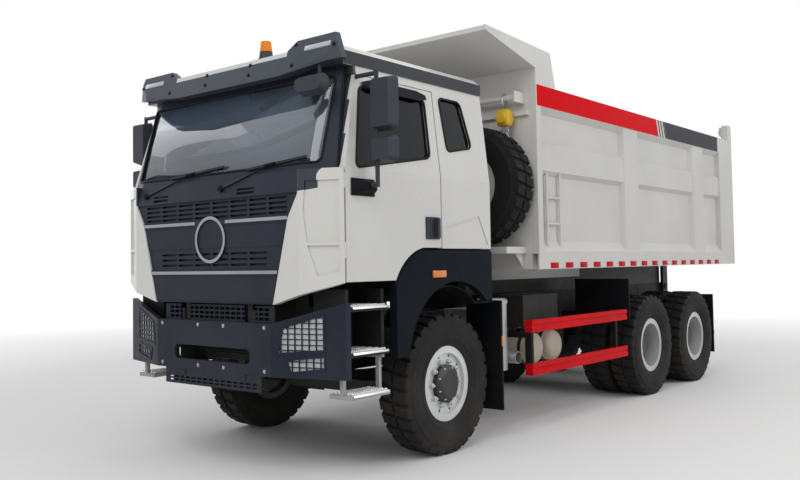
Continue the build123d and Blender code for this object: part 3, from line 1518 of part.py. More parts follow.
# Doors with windows, mirrors and handles
curve_start, curve_middle, curve_end = arch_curve(panel_gap)
door_outline = [
    curve_end,
    (door_rear_y, arch_top_z + panel_gap),
    (door_rear_y, door_top_z),
    (front_axle_y - 1100.0, door_top_z),
    (door_front_y, belt_z),
    (door_front_y, cab_low_z + panel_gap),
    curve_start,
]
mirror_x = body_half_width + 175.0
mirror_half_width = 100.0
mirror_y = front_axle_y - 1080.0
mirror_depth = 90.0
mirror_corner = 40.0
mirror_taper = 14
arm_radius = 16.0
arm_low_z = belt_z - 114.0
arm_top_z = belt_z + 668.0
arm_top_x = body_half_width - roof_lean * (arm_top_z - arm_radius - belt_z) / (roof_base_z - belt_z) + seat_gap
mirror_heads = ((belt_z + 260.0, belt_z + 640.0), (belt_z + 35.0, belt_z + 225.0))
handle_front_y = front_axle_y - 389.0
handle_rear_y = front_axle_y - 221.0
handle_zs = (1700.0, 1870.0)
handle_plate = 10.0
handle_grip = 34.0
for side, sign in sides:
    with BuildPart() as door:
        prism_y([(sign * x, z) for x, z in skin_section], door_front_y, door_rear_y)
        arched_prism(door_outline, curve_middle, -2 * body_half_width, 2 * body_half_width, mode=Mode.INTERSECT)
        window_cut(door_window, 0.0, Mode.SUBTRACT)
        for z in door_hinge_zs:
            bar_z(
                sign * door_hinge_x, door_hinge_y, z, z + door_hinge_height, door_hinge_radius - seat_gap,
            )
            block(
                sign * (door_hinge_x - 6.0), sign * (door_hinge_x + 6.0), door_hinge_y, door_front_y + 1.0, z,
                z + door_hinge_height,
            )
    finish(door, f"door_{side}")
    with BuildPart() as door_window_glass:
        prism_y([(sign * x, z) for x, z in glass_section], door_front_y, door_rear_y)
        window_cut(door_window, seat_gap, Mode.INTERSECT)
    finish(door_window_glass, f"door_window_{side}")
    with BuildPart() as door_fittings:
        for z0, z1 in mirror_heads:
            with BuildSketch(Plane.XZ.offset(-mirror_y - mirror_depth / 2)):
                with Locations((sign * mirror_x, (z0 + z1) / 2)):
                    RectangleRounded(2 * mirror_half_width, z1 - z0, mirror_corner)
            extrude(amount=mirror_depth, taper=mirror_taper)
        bar_z(sign * (mirror_x - 60.0), mirror_y, arm_low_z - arm_radius, arm_top_z + arm_radius, arm_radius)
        bar_x(sign * (body_half_width + seat_gap), sign * (mirror_x - 60.0), mirror_y, arm_low_z, arm_radius)
        bar_x(sign * arm_top_x, sign * (mirror_x - 60.0), mirror_y, arm_top_z, arm_radius)
        block(
            sign * (body_half_width + seat_gap), sign * (body_half_width + handle_plate), handle_front_y,
            handle_rear_y, handle_zs[0], handle_zs[1],
        )
        block(
            sign * (body_half_width + handle_plate), sign * (body_half_width + handle_plate + handle_grip),
            handle_rear_y - 2 * handle_grip, handle_rear_y - handle_grip, handle_zs[0] + handle_plate,
            handle_zs[1] - handle_plate,
        )
    finish(door_fittings, f"door_fittings_{side}")

# Dashboard and seats
dash_rear_y = cab_front_inner_y + 260.0
dash_low_z = 1800.0
dash_high_z = 2150.0
seat_x = 560.0
seat_half_width = 255.0
seat_front_y = front_axle_y - 480.0
seat_base_z = cab_high_floor_z + cab_floor_thickness
wheel_radius = 225.0
wheel_rim_radius = 17.0
wheel_lean = 35.0
wheel_hub_height = 40.0
wheel_hub = (seat_x, dash_rear_y + 130.0, dash_high_z + 20.0)
wheel_axis = (0, math.sin(math.radians(wheel_lean)), math.cos(math.radians(wheel_lean)))
column_radius = 36.0
column_length = 260.0
with BuildPart() as cab_interior:
    dash_outline = [
        (cab_front_inner_y + seat_gap, dash_low_z),
        (dash_rear_y - 80.0, dash_low_z),
        (dash_rear_y, dash_high_z - 120.0),
        (cab_front_inner_y + seat_gap, dash_high_z),
    ]
    prism_x(dash_outline, -corner_knee_x, corner_knee_x)
    column = Plane(origin=wheel_hub, x_dir=(1, 0, 0), z_dir=wheel_axis).offset(-wheel_hub_height / 2 - seat_gap)
    with BuildSketch(column):
        Circle(column_radius)
    extrude(amount=-column_length)
finish(cab_interior, "cab_interior")

with BuildPart() as seats:
    for sign in (1, -1):
        block(
            sign * seat_x - seat_half_width, sign * seat_x + seat_half_width,
            seat_front_y, seat_front_y + 500.0,
            seat_base_z, seat_base_z + 260.0,
        )
        seat_back = [
            (seat_front_y + 400.0, seat_base_z + 250.0),
            (seat_front_y + 500.0, seat_base_z + 230.0),
            (seat_front_y + 640.0, seat_base_z + 950.0),
            (seat_front_y + 560.0, seat_base_z + 960.0),
        ]
        prism_x(seat_back, sign * seat_x - seat_half_width, sign * seat_x + seat_half_width)
finish(seats, "seats")

# Steering wheel on its column
wheel_hub_radius = 50.0
wheel_spoke = (36.0, 20.0)
with BuildPart() as wheel_form:
    with BuildSketch(Plane.XZ):
        with Locations((wheel_radius, 0)):
            RegularPolygon(wheel_rim_radius, hand_hole_sides)
    revolve(axis=Axis.Z)
    Cylinder(wheel_hub_radius, wheel_hub_height)
    Box(2 * wheel_radius, wheel_spoke[0], wheel_spoke[1])
with BuildPart() as steering_wheel:
    with Locations(Location(wheel_hub, (-wheel_lean, 0, 0))):
        add(wheel_form.part)
finish(steering_wheel, "steering_wheel")

# Bed floor with beams, hinge ears and hoist ears
beam_inner_x = subframe_inner_x
beam_low_z = bed_floor_z - bed_beam_height
bed_inner_front_y = bed_front_y + 60.0
hoist_ear_gap = 75.0
hoist_ear = 25.0
with BuildPart() as bed_floor:
    block(-bed_inner_x, bed_inner_x, bed_front_y, bed_rear_y, bed_floor_z, bed_floor_z + bed_floor_thickness)
    for step in range(10):
        y = bed_front_y + 60.0 + step * (bed_length - 120.0) / 9
        block(-bed_inner_x + 5.0, bed_inner_x - 5.0, y - 50.0, y + 50.0, beam_low_z, bed_floor_z)
    for sign in (1, -1):
        block(
            sign * beam_inner_x, sign * rail_outer_x, bed_front_y, bed_hinge_y - 80.0,
            subframe_top_z + seat_gap, bed_floor_z,
        )
        block(
            sign * (rail_outer_x + 12.0), sign * (rail_outer_x + 12.0 + ear_thickness), bed_hinge_y - 75.0,
            bed_hinge_y + 75.0, bed_hinge_z - 75.0, bed_floor_z,
        )
        bar_x(
            sign * (rail_outer_x + 5.0), sign * (rail_outer_x + 60.0 + ear_thickness), bed_hinge_y, bed_hinge_z,
            bed_pin_radius + pin_gap, mode=Mode.SUBTRACT,
        )
        for cheek in (1, -1):
            ear_x = sign * hoist_x + cheek * (hoist_ear_gap + hoist_ear / 2)
            block(
                ear_x - hoist_ear / 2, ear_x + hoist_ear / 2, hoist_eye_y - 80.0, hoist_eye_y + 80.0,
                hoist_eye_z - 60.0, bed_floor_z,
            )
finish(bed_floor, "bed_floor")

# Bed sides
rail_low_z = bed_top_z - 195.0
mid_rail_z = (bed_floor_z + 0.494 * bed_height, bed_floor_z + 0.647 * bed_height)
plate_x = bed_inner_x + bed_wall
rear_post_depth = 520.0
rib_width = 360.0
rib_centres = (bed_front_y + 2060.0, bed_front_y + 4090.0)
ladder_x = bed_half_width - 32.0
ladder_ys = (bed_front_y + 215.0, bed_front_y + 465.0)
ladder_low_z = bed_floor_z + 35.0
ladder_radius = 13.0
with BuildPart() as bed_sides:
    side_section = [
        (bed_inner_x, bed_floor_z),
        (bed_inner_x, bed_top_z),
        (bed_half_width, bed_top_z),
        (bed_half_width, rail_low_z),
        (plate_x, rail_low_z - 60.0),
        (plate_x, mid_rail_z[1] + 40.0),
        (bed_half_width - 15.0, mid_rail_z[1]),
        (bed_half_width - 15.0, mid_rail_z[0]),
        (plate_x, mid_rail_z[0] - 40.0),
        (plate_x, bed_floor_z + 115.0),
        (bed_half_width, bed_floor_z + 20.0),
        (bed_half_width, bed_skirt_z),
        (bed_half_width - 15.0, bed_skirt_z),
        (bed_half_width - 15.0, bed_floor_z),
    ]
    prism_y(side_section, bed_front_y, bed_rear_y)
    for centre in rib_centres:
        rib_plan = [
            (bed_inner_x, centre - rib_width / 2 - 40.0),
            (bed_half_width - 8.0, centre - rib_width / 2),
            (bed_half_width - 8.0, centre + rib_width / 2),
            (bed_inner_x, centre + rib_width / 2 + 40.0),
        ]
        prism_z(rib_plan, bed_floor_z + 10.0, bed_top_z - 10.0)
    block(bed_inner_x, bed_half_width, bed_front_y, bed_front_y + 90.0, bed_floor_z, bed_top_z)
    block(bed_inner_x, bed_half_width, bed_rear_y - rear_post_depth, bed_rear_y, bed_floor_z, bed_top_z)
    block(
        bed_inner_x, bed_half_width, bed_rear_y - 150.0, bed_rear_y, bed_top_z, gate_hinge_z + 70.0,
    )
    bar_x(bed_inner_x - 80.0, bed_inner_x + 10.0, gate_hinge_y, gate_hinge_z, gate_pin_radius)
    mirror(about=Plane.YZ)
    for y in ladder_ys:
        bar_z(ladder_x, y, ladder_low_z, mid_rail_z[0] + ladder_radius, ladder_radius)
    for rung in (1, 2):
        rung_z = ladder_low_z + rung * (mid_rail_z[0] - ladder_low_z) / 3
        bar_y(ladder_x, ladder_ys[0], ladder_ys[1], rung_z, ladder_radius - slip_gap)
finish(bed_sides, "bed_sides")

# Bed front wall and canopy
canopy_thickness = 40.0
canopy_reach_y = front_axle_y + 485.0
canopy_tip_z = bed_top_z + 340.0
canopy_root_z = bed_top_z + 150.0
canopy_top_z = bed_top_z + 385.0
ledge_z = bed_top_z - 280.0
ledge_depth = 45.0
hang_bar_y = bed_front_y - 120.0
hang_bar_z = bed_top_z - 120.0
hang_bar_xs = (350.0, 1120.0)
hang_bar_radius = 25.0
hang_plate = 16.0
with BuildPart() as bed_front:
    block(
        -bed_inner_x, bed_inner_x, bed_front_y, bed_inner_front_y, bed_floor_z + bed_floor_thickness, bed_top_z,
    )
    canopy_outline = [
        (bed_inner_front_y, bed_top_z),
        (bed_inner_front_y, canopy_root_z + canopy_thickness),
        (canopy_reach_y, canopy_tip_z + canopy_thickness),
        (canopy_reach_y, canopy_tip_z),
        (bed_front_y, canopy_root_z),
        (bed_front_y, bed_top_z),
    ]
    prism_x(canopy_outline, -bed_half_width, bed_half_width)
    cheek_outline = [
        (bed_inner_front_y + 310.0, bed_top_z),
        (bed_inner_front_y + 220.0, bed_top_z + 330.0),
        (canopy_reach_y, canopy_top_z),
        (canopy_reach_y, canopy_tip_z),
        (bed_front_y, canopy_root_z),
        (bed_front_y, bed_top_z),
    ]
    for sign in (1, -1):
        prism_x(cheek_outline, sign * (bed_half_width - 20.0), sign * bed_half_width)
    block(-bed_inner_x, bed_inner_x, bed_front_y - ledge_depth, bed_front_y, ledge_z, ledge_z + ledge_depth)
    bar_x(hang_bar_xs[0], hang_bar_xs[1], hang_bar_y, hang_bar_z, hang_bar_radius)
    for x in hang_bar_xs:
        block(
            x - hang_plate / 2, x + hang_plate / 2, hang_bar_y - 2 * hang_bar_radius, bed_front_y,
            hang_bar_z - 2 * hang_bar_radius, hang_bar_z + 2 * hang_bar_radius,
        )
finish(bed_front, "bed_front")

# Spare wheel on the bed's front wall
spare_x = 690.0
spare_z = 2225.0
spare_y = bed_front_y - 40.0 - tyre_width / 2
shelf_z = spare_z - axle_z - 75.0
shelf_gusset = 130.0
with BuildPart() as spare_tyre:
    with Locations(Location((spare_x, spare_y, spare_z), (0, 0, -90))):
        add(tyre)
finish(spare_tyre, "spare_tyre")
with BuildPart() as spare_rim_form:
    with BuildSketch(Plane.XY):
        Polygon(
            (-rim_half_width, rim_seat_radius - rim_wall),
            (-rim_half_width, tyre_seat_radius),
            (rim_half_width, tyre_seat_radius),
            (rim_half_width, rim_seat_radius - rim_wall),
            (-front_disc_x, rim_seat_radius - rim_wall),
            (-front_disc_x, 110.0),
            (-front_disc_x - disc_thickness, 110.0),
            (-front_disc_x - disc_thickness, rim_seat_radius - rim_wall),
            align=None,
        )
    revolve(axis=Axis.X)
with BuildPart() as spare_rim:
    with Locations(Location((spare_x, spare_y, spare_z), (0, 0, -90))):
        add(spare_rim_form.part)
finish(spare_rim, "spare_rim")
with BuildPart() as spare_carrier:
    bar_y(spare_x, spare_y, bed_front_y, spare_z, 110.0 - seat_gap)
    block(
        spare_x - 420.0, spare_x + 420.0, bed_front_y - 330.0, bed_front_y, spare_z - axle_z - 75.0,
        spare_z - axle_z - 15.0,
    )
    for x in (spare_x - 380.0, spare_x + 380.0):
        prism_x(
            [
                (bed_front_y, shelf_z),
                (bed_front_y, shelf_z - shelf_gusset),
                (bed_front_y - shelf_gusset, shelf_z),
            ],
            x - hang_plate / 2, x + hang_plate / 2,
        )
finish(spare_carrier, "spare_carrier")

# Tailgate
gate_low_z = bed_floor_z + bed_floor_thickness + 6.0
gate_high_z = bed_top_z - 20.0
gate_plate = 45.0
with BuildPart() as tailgate:
    block(
        -bed_inner_x + 8.0, bed_inner_x - 8.0, bed_rear_y + 5.0, bed_rear_y + 5.0 + gate_plate, gate_low_z,
        gate_high_z,
    )
    for step in range(4):
        x = (step - 1.5) * 2 * (bed_inner_x - 90.0) / 3
        block(x - 70.0, x + 70.0, bed_rear_y + gate_plate, tail_y, gate_low_z, gate_high_z)
    for z in (gate_low_z, (gate_low_z + gate_high_z) / 2 - 60.0, gate_high_z - 120.0):
        block(-bed_inner_x + 8.0, bed_inner_x - 8.0, bed_rear_y + gate_plate, tail_y - 15.0, z, z + 120.0)
    for sign in (1, -1):
        arm_inner = sign * (bed_inner_x - 60.0)
        arm_outer = sign * (bed_inner_x - 15.0)
        block(
            arm_inner, arm_outer, bed_rear_y + 5.0, bed_rear_y + 5.0 + gate_plate, gate_high_z - 5.0,
            gate_hinge_z + 60.0,
        )
        block(
            arm_inner, arm_outer, gate_hinge_y - 60.0, bed_rear_y + 10.0,
            gate_hinge_z - 60.0, gate_hinge_z + 60.0,
        )
        bar_x(
            sign * (bed_inner_x - 100.0), sign * (bed_inner_x + 5.0), gate_hinge_y, gate_hinge_z,
            gate_pin_radius + pin_gap, mode=Mode.SUBTRACT,
        )
finish(tailgate, "tailgate")

# Hoist cylinders
hoist_vector = Vector(0, hoist_eye_y - hoist_base_y, hoist_eye_z - hoist_base_z)
hoist_length = hoist_vector.length
barrel_length = hoist_length - 170.0
hoist_eye_radius = 68.0
rod_bore = rod_radius + pin_gap
with BuildPart() as hoist_barrels:
    for sign in (1, -1):
        base = Plane(origin=(sign * hoist_x, hoist_base_y, hoist_base_z), x_dir=(1, 0, 0), z_dir=hoist_vector)
        with BuildSketch(base):
            Circle(barrel_radius)
        extrude(amount=barrel_length)
        with BuildSketch(base.offset(150.0)):
            Circle(rod_bore)
        extrude(amount=barrel_length, mode=Mode.SUBTRACT)
        bar_x(
            sign * hoist_x - 60.0, sign * hoist_x + 60.0, hoist_base_y, hoist_base_z, trunnion_radius + 45.0,
        )
        bar_x(
            sign * hoist_x - 200.0, sign * hoist_x + 200.0, hoist_base_y, hoist_base_z,
            trunnion_radius + pin_gap,
            mode=Mode.SUBTRACT,
        )
finish(hoist_barrels, "hoist_barrels")
with BuildPart() as hoist_rods:
    for sign in (1, -1):
        base = Plane(origin=(sign * hoist_x, hoist_base_y, hoist_base_z), x_dir=(1, 0, 0), z_dir=hoist_vector)
        with BuildSketch(base.offset(160.0)):
            Circle(rod_radius)
        extrude(amount=hoist_length - 160.0)
        bar_x(sign * hoist_x - 50.0, sign * hoist_x + 50.0, hoist_eye_y, hoist_eye_z, hoist_eye_radius)
finish(hoist_rods, "hoist_rods")
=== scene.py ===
"""Looks of a six-wheel tipping truck: a finish for every CAD node, and small pieces beyond the solids."""

import logging
import math
from collections.abc import Callable, Iterable
from dataclasses import dataclass, replace
from enum import Enum

import bpy
from mathutils import Matrix, Vector


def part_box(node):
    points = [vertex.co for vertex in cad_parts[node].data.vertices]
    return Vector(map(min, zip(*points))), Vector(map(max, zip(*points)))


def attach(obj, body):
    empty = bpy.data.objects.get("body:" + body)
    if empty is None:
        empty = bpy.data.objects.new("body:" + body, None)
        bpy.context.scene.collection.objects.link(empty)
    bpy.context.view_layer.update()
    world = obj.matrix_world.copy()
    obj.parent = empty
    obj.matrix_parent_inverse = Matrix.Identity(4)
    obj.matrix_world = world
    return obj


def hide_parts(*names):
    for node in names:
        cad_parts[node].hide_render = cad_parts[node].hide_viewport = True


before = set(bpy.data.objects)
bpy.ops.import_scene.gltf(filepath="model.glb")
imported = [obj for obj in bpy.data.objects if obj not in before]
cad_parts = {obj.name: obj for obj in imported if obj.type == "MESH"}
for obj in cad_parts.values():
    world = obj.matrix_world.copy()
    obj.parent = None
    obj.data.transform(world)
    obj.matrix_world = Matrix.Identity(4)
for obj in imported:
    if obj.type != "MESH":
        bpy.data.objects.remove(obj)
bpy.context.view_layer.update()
LOG = logging.getLogger("tipper")

Colour = tuple[float, float, float]
Point = tuple[float, float, float]
Pair = tuple[float, float]
Piece = bpy.types.Object
Socket = bpy.types.NodeSocket
Step = Callable[[], object]

MIRROR = Matrix.Scale(-1.0, 4, (1.0, 0.0, 0.0))
FACING = 0.9
MERGE_GAP = 0.00002
DUST_DULLING = 0.45


class Body(Enum):
    """Moving bodies of the truck that new pieces ride on."""

    CHASSIS = "chassis"
    CAB = "cab"
    BED = "bed"


class Side(Enum):
    """Sides of the truck, with the sign of X on each."""

    LEFT = 1.0
    RIGHT = -1.0

    @property
    def word(self) -> str:
        """Name of the side in node names."""
        return self.name.lower()


class Way(Enum):
    """Directions of the truck that faces are picked by."""

    LEFT = (1.0, 0.0, 0.0)
    RIGHT = (-1.0, 0.0, 0.0)
    FRONT = (0.0, -1.0, 0.0)
    REAR = (0.0, 1.0, 0.0)
    UP = (0.0, 0.0, 1.0)


def turned(degrees: float, axis: str) -> Matrix:
    """Turn about an axis through the origin."""
    return Matrix.Rotation(math.radians(degrees), 4, axis)


def about(point: Point, turn: Matrix) -> Matrix:
    """The same turn or scale, but about a point."""
    return Matrix.Translation(point) @ turn @ Matrix.Translation(-Vector(point))


def middle_of(node: str) -> Vector:
    """Middle of a CAD node's box."""
    low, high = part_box(node)
    return (low + high) / 2


class NodeTree:
    """Thin helper that adds and links shader nodes in one tree."""

    def __init__(self, tree: bpy.types.NodeTree) -> None:
        """Keep the tree that the nodes go into."""
        self.tree = tree

    def add(self, kind: str, **settings: object) -> bpy.types.Node:
        """Add one node.

        Args:
            kind: Blender's type name, such as ShaderNodeTexNoise.
            **settings: properties of the node, or values of its input sockets by name.

        Returns:
            The new node.
        """
        node = self.tree.nodes.new(kind)
        for key, value in settings.items():
            if hasattr(node, key) and key not in node.inputs:
                setattr(node, key, value)
            else:
                node.inputs[key].default_value = value
        return node

    def feed(self, value: object, socket: Socket) -> None:
        """Give an input its value.

        Args:
            value: an output socket to join, a number or a colour.
            socket: the input.
        """
        if isinstance(value, bpy.types.NodeSocket):
            self.tree.links.new(value, socket)
        else:
            socket.default_value = (*value, 1.0) if isinstance(value, tuple) else value

    def group(self, made: bpy.types.NodeTree, **values: object) -> bpy.types.Node:
        """Place a shared group.

        Args:
            made: the group's tree.
            **values: sockets or numbers for its inputs, by name.

        Returns:
            The group's node.
        """
        node = self.add("ShaderNodeGroup", node_tree=made)
        for label, value in values.items():
            self.feed(value, node.inputs[label])
        return node

    def math(self, operation: str, first: object, second: object = 0.0) -> Socket:
        """Combine two values.

        Args:
            operation: Blender's name of the operation, such as MULTIPLY.
            first: a socket or a number.
            second: a socket or a number.

        Returns:
            The output socket.
        """
        node = self.add("ShaderNodeMath", operation=operation)
        self.feed(first, node.inputs[0])
        self.feed(second, node.inputs[1])
        return node.outputs[0]

    def times(self, first: object, *others: object) -> Socket:
        """Multiply values.

        Args:
            first: a socket or a number.
            *others: sockets or numbers.

        Returns:
            The product.
        """
        for other in others:
            first = self.math("MULTIPLY", first, other)
        return first

    def over(self, value: object, limit: object) -> Socket:
        """One where a value is above a limit, else zero."""
        return self.math("GREATER_THAN", value, limit)

    def under(self, value: object, limit: object) -> Socket:
        """One where a value is below a limit, else zero."""
        return self.math("LESS_THAN", value, limit)

    def less(self, value: object, other: object) -> Socket:
        """Difference of two values."""
        return self.math("SUBTRACT", value, other)

    def squares(self, first: Socket, second: Socket) -> Socket:
        """Sum of two squares."""
        return self.math("ADD", self.times(first, first), self.times(second, second))

    def blend(self, factor: object, low: object, high: object) -> Socket:
        """Mix two colours by a factor.

        Args:
            factor: a socket or a number from 0 to 1.
            low: colour or socket at factor 0.
            high: colour or socket at factor 1.

        Returns:
            The colour socket.
        """
        node = self.add("ShaderNodeMix", data_type="RGBA")
        for slot, value in ((0, factor), (6, low), (7, high)):
            self.feed(value, node.inputs[slot])
        return node.outputs[2]

    def ramp(self, value: Socket, low: float, high: float, start: float, end: float) -> Socket:
        """Map a value from one range to another, clamped.

        Args:
            value: socket to map.
            low: value that gives start.
            high: value that gives end.
            start: result at low.
            end: result at high.

        Returns:
            The mapped socket.
        """
        node = self.add("ShaderNodeMapRange")
        for slot, given in enumerate((value, low, high, start, end)):
            self.feed(given, node.inputs[slot])
        return node.outputs[0]

    def axes(self, place: Socket) -> list[Socket]:
        """Split a place.

        Args:
            place: coordinates.

        Returns:
            Its X, Y and Z.
        """
        node = self.add("ShaderNodeSeparateXYZ")
        self.feed(place, node.inputs[0])
        return list(node.outputs)

    def noise(self, place: Socket, scale: object, detail: float, roughness: float) -> Socket:
        """Cloudy noise over a place.

        Args:
            place: coordinates.
            scale: how fine it is, a socket or a number.
            detail: octaves.
            roughness: share of the fine octaves.

        Returns:
            The noise, about 0 to 1.
        """
        node = self.add("ShaderNodeTexNoise", Detail=detail, Roughness=roughness)
        self.feed(place, node.inputs["Vector"])
        self.feed(scale, node.inputs["Scale"])
        return node.outputs[0]


class SharedGroups:
    """Shader node groups that several finishes use, each built once."""

    @staticmethod
    def begin(
        name: str, inputs: Iterable[str], outputs: Iterable[str]
    ) -> tuple[NodeTree, bpy.types.Node, bpy.types.Node]:
        """Start a group. Its socket Vector is a vector, and every other one a number.

        Args:
            name: the group's name.
            inputs: names of its inputs.
            outputs: names of its outputs.

        Returns:
            The tree helper, the group's input node and its output node.
        """
        tree = bpy.data.node_groups.new(name, "ShaderNodeTree")
        for way, labels in (("INPUT", inputs), ("OUTPUT", outputs)):
            for label in labels:
                kind = "NodeSocketVector" if label == "Vector" else "NodeSocketFloat"
                tree.interface.new_socket(label, in_out=way, socket_type=kind)
        helper = NodeTree(tree)
        return helper, helper.add("NodeGroupInput"), helper.add("NodeGroupOutput")

    @classmethod
    def road_dust(cls) -> bpy.types.NodeTree:
        """Mask of dry dust that is thick near the ground and thins out upwards in patches.

        Returns:
            The group's tree.
        """
        found = bpy.data.node_groups.get("road_dust")
        if found:
            return found
        tree, given, result = cls.begin("road_dust", ("Vector", "Top", "Amount"), ("Mask",))
        place, top, amount = given.outputs[:3]
        low = tree.ramp(tree.math("DIVIDE", tree.axes(place)[2], top), 0.0, 1.0, 1.0, 0.0)
        patch = tree.ramp(tree.noise(place, 2.3, 7.0, 0.62), 0.38, 0.68, 0.25, 1.0)
        grit = tree.ramp(tree.noise(place, 38.0, 4.0, 0.7), 0.35, 0.7, 0.6, 1.0)
        tree.feed(tree.times(low, patch, grit, amount), result.inputs["Mask"])
        return tree.tree

    @classmethod
    def tone_drift(cls) -> bpy.types.NodeTree:
        """Slow change of tone over a surface, and a finer one for gloss.

        Returns:
            The group's tree.
        """
        found = bpy.data.node_groups.get("tone_drift")
        if found:
            return found
        tree, given, result = cls.begin("tone_drift", ("Vector", "Scale"), ("Tone", "Gloss"))
        place, scale = given.outputs[:2]
        broad = tree.noise(place, scale, 3.0, 0.5)
        fine = tree.noise(place, tree.times(scale, 9.0), 6.0, 0.65)
        for label, cloud in (("Tone", broad), ("Gloss", fine)):
            tree.feed(tree.ramp(cloud, 0.3, 0.7, 0.0, 1.0), result.inputs[label])
        return tree.tree


@dataclass(frozen=True)
class Surface:
    """Anything that a piece can be finished with."""

    name: str

    def wire(self, tree: NodeTree, place: Socket, shader: bpy.types.Node) -> None:
        """Wire the finish into its shader."""
        raise NotImplementedError

    def material(self) -> bpy.types.Material:
        """Make the finish as a node material, once.

        Returns:
            The material of this name.
        """
        found = bpy.data.materials.get(self.name)
        if found:
            return found
        made = bpy.data.materials.new(self.name)
        made.use_nodes = True
        tree = NodeTree(made.node_tree)
        place = tree.add("ShaderNodeTexCoord").outputs["Object"]
        self.wire(tree, place, made.node_tree.nodes["Principled BSDF"])
        return made


@dataclass(frozen=True)
class Finish(Surface):
    """Opaque surface finish: paint, moulded plastic, rubber or metal.

    Colours are linear. Dust gathers below dust_top metres, as thick as dust says.
    """

    colour: Colour
    shade: Colour
    rough: Pair
    metallic: float = 0.0
    coat: float = 0.0
    specular: float = 0.35
    drift_scale: float = 1.5
    grain_scale: float = 90.0
    grain_depth: float = 0.0004
    grain_strength: float = 0.15
    stretch: Point = (1.0, 1.0, 1.0)
    dust: float = 0.25
    dust_top: float = 2.2
    dust_colour: Colour = (0.30, 0.26, 0.21)

    def base(self, tree: NodeTree, place: Socket, tone: Socket) -> Socket:
        """Colour before dust: two tones of one paint."""
        return tree.blend(tone, self.shade, self.colour)

    def wire(self, tree: NodeTree, place: Socket, shader: bpy.types.Node) -> None:
        """Wire colour, dust, gloss and fine bump into the shader.

        Args:
            tree: the material's tree.
            place: the object's own coordinates.
            shader: the material's shader.
        """
        drift = tree.group(SharedGroups.tone_drift(), Vector=place, Scale=self.drift_scale)
        dust = tree.group(SharedGroups.road_dust(), Vector=place, Top=self.dust_top, Amount=self.dust)
        plain = self.base(tree, place, drift.outputs["Tone"])
        tree.feed(tree.blend(dust.outputs["Mask"], plain, self.dust_colour), shader.inputs["Base Color"])
        gloss = tree.ramp(drift.outputs["Gloss"], 0.0, 1.0, *self.rough)
        dull = tree.math("ADD", gloss, tree.times(dust.outputs["Mask"], DUST_DULLING))
        tree.feed(dull, shader.inputs["Roughness"])
        for label, value in (
            ("Metallic", self.metallic), ("Specular IOR Level", self.specular), ("Coat Weight", self.coat),
            ("Coat Roughness", 0.08),
        ):
            shader.inputs[label].default_value = value
        mapping = tree.add("ShaderNodeMapping", Scale=self.stretch)
        tree.feed(place, mapping.inputs["Vector"])
        bump = tree.add("ShaderNodeBump", Strength=self.grain_strength, Distance=self.grain_depth)
        tree.feed(tree.noise(mapping.outputs[0], self.grain_scale, 3.0, 0.55), bump.inputs["Height"])
        tree.feed(bump.outputs[0], shader.inputs["Normal"])


@dataclass(frozen=True)
class BandedPaint(Finish):
    """White body paint with a band along the top rail: red, three slanted lines, then dark grey."""

    band_low: float = 2.955
    band_high: float = 3.15
    band_x: float = 1.238
    red_start: float = -1.345
    red_end: float = 1.47
    grey_start: float = 1.70
    grey_end: float = 3.46
    slant: float = 0.35
    line_pitch: float = 0.075
    line_share: float = 0.45
    red: Colour = (0.60, 0.002, 0.007)
    grey: Colour = (0.050, 0.054, 0.064)

    def base(self, tree: NodeTree, place: Socket, tone: Socket) -> Socket:
        """White with the red and grey bands laid over the rail's outer face.

        Args:
            tree: the material's tree.
            place: the object's own coordinates.
            tone: slow change of tone.

        Returns:
            The colour.
        """
        x, y, z = tree.axes(place)
        along = tree.math("ADD", y, tree.times(tree.less(z, self.band_low), self.slant))
        outer = tree.over(tree.math("ABSOLUTE", x), self.band_x)
        inside = tree.times(tree.over(z, self.band_low), tree.under(z, self.band_high), outer)
        red = tree.times(inside, tree.over(y, self.red_start), tree.under(along, self.red_end))
        turns = tree.math("DIVIDE", tree.less(along, self.red_end), self.line_pitch)
        gaps = tree.under(tree.math("FRACT", turns), 1.0 - self.line_share)
        grey = tree.math("MAXIMUM", tree.over(along, self.grey_start), tree.less(1.0, gaps))
        grey = tree.times(inside, grey, tree.over(along, self.red_end), tree.under(y, self.grey_end))
        return tree.blend(grey, tree.blend(red, super().base(tree, place, tone), self.red), self.grey)


@dataclass(frozen=True)
class WheelPaint(Finish):
    """Wheel in rings about its axle: dark hub, dull dish and bright outer rim, with painted shade on its
    inner side.
    """

    hub_y: float = 0.0
    hub_z: float = 0.556
    hub_radius: float = 0.152
    dish_radius: float = 0.236
    inner_x: float = 0.0
    hub_colour: Colour = (0.030, 0.030, 0.032)
    dish_colour: Colour = (0.145, 0.148, 0.153)
    inner_shade_colour: Colour = (0.035, 0.034, 0.033)

    def base(self, tree: NodeTree, place: Socket, tone: Socket) -> Socket:
        """Ring colours by distance from the axle.

        Args:
            tree: the material's tree.
            place: the object's own coordinates.
            tone: slow change of tone.

        Returns:
            The colour.
        """
        x, y, z = tree.axes(place)
        reach = tree.math("SQRT", tree.squares(tree.less(y, self.hub_y), tree.less(z, self.hub_z)))
        paint = super().base(tree, place, tone)
        # Dish and hub by distance from the axle; the inner side, |x| below inner_x, in painted shade.
        for value, limit, colour in (
            (reach, self.dish_radius, self.dish_colour), (reach, self.hub_radius, self.hub_colour),
            (tree.math("ABSOLUTE", x), self.inner_x, self.inner_shade_colour),
        ):
            paint = tree.blend(tree.under(value, limit), paint, colour)
        return paint


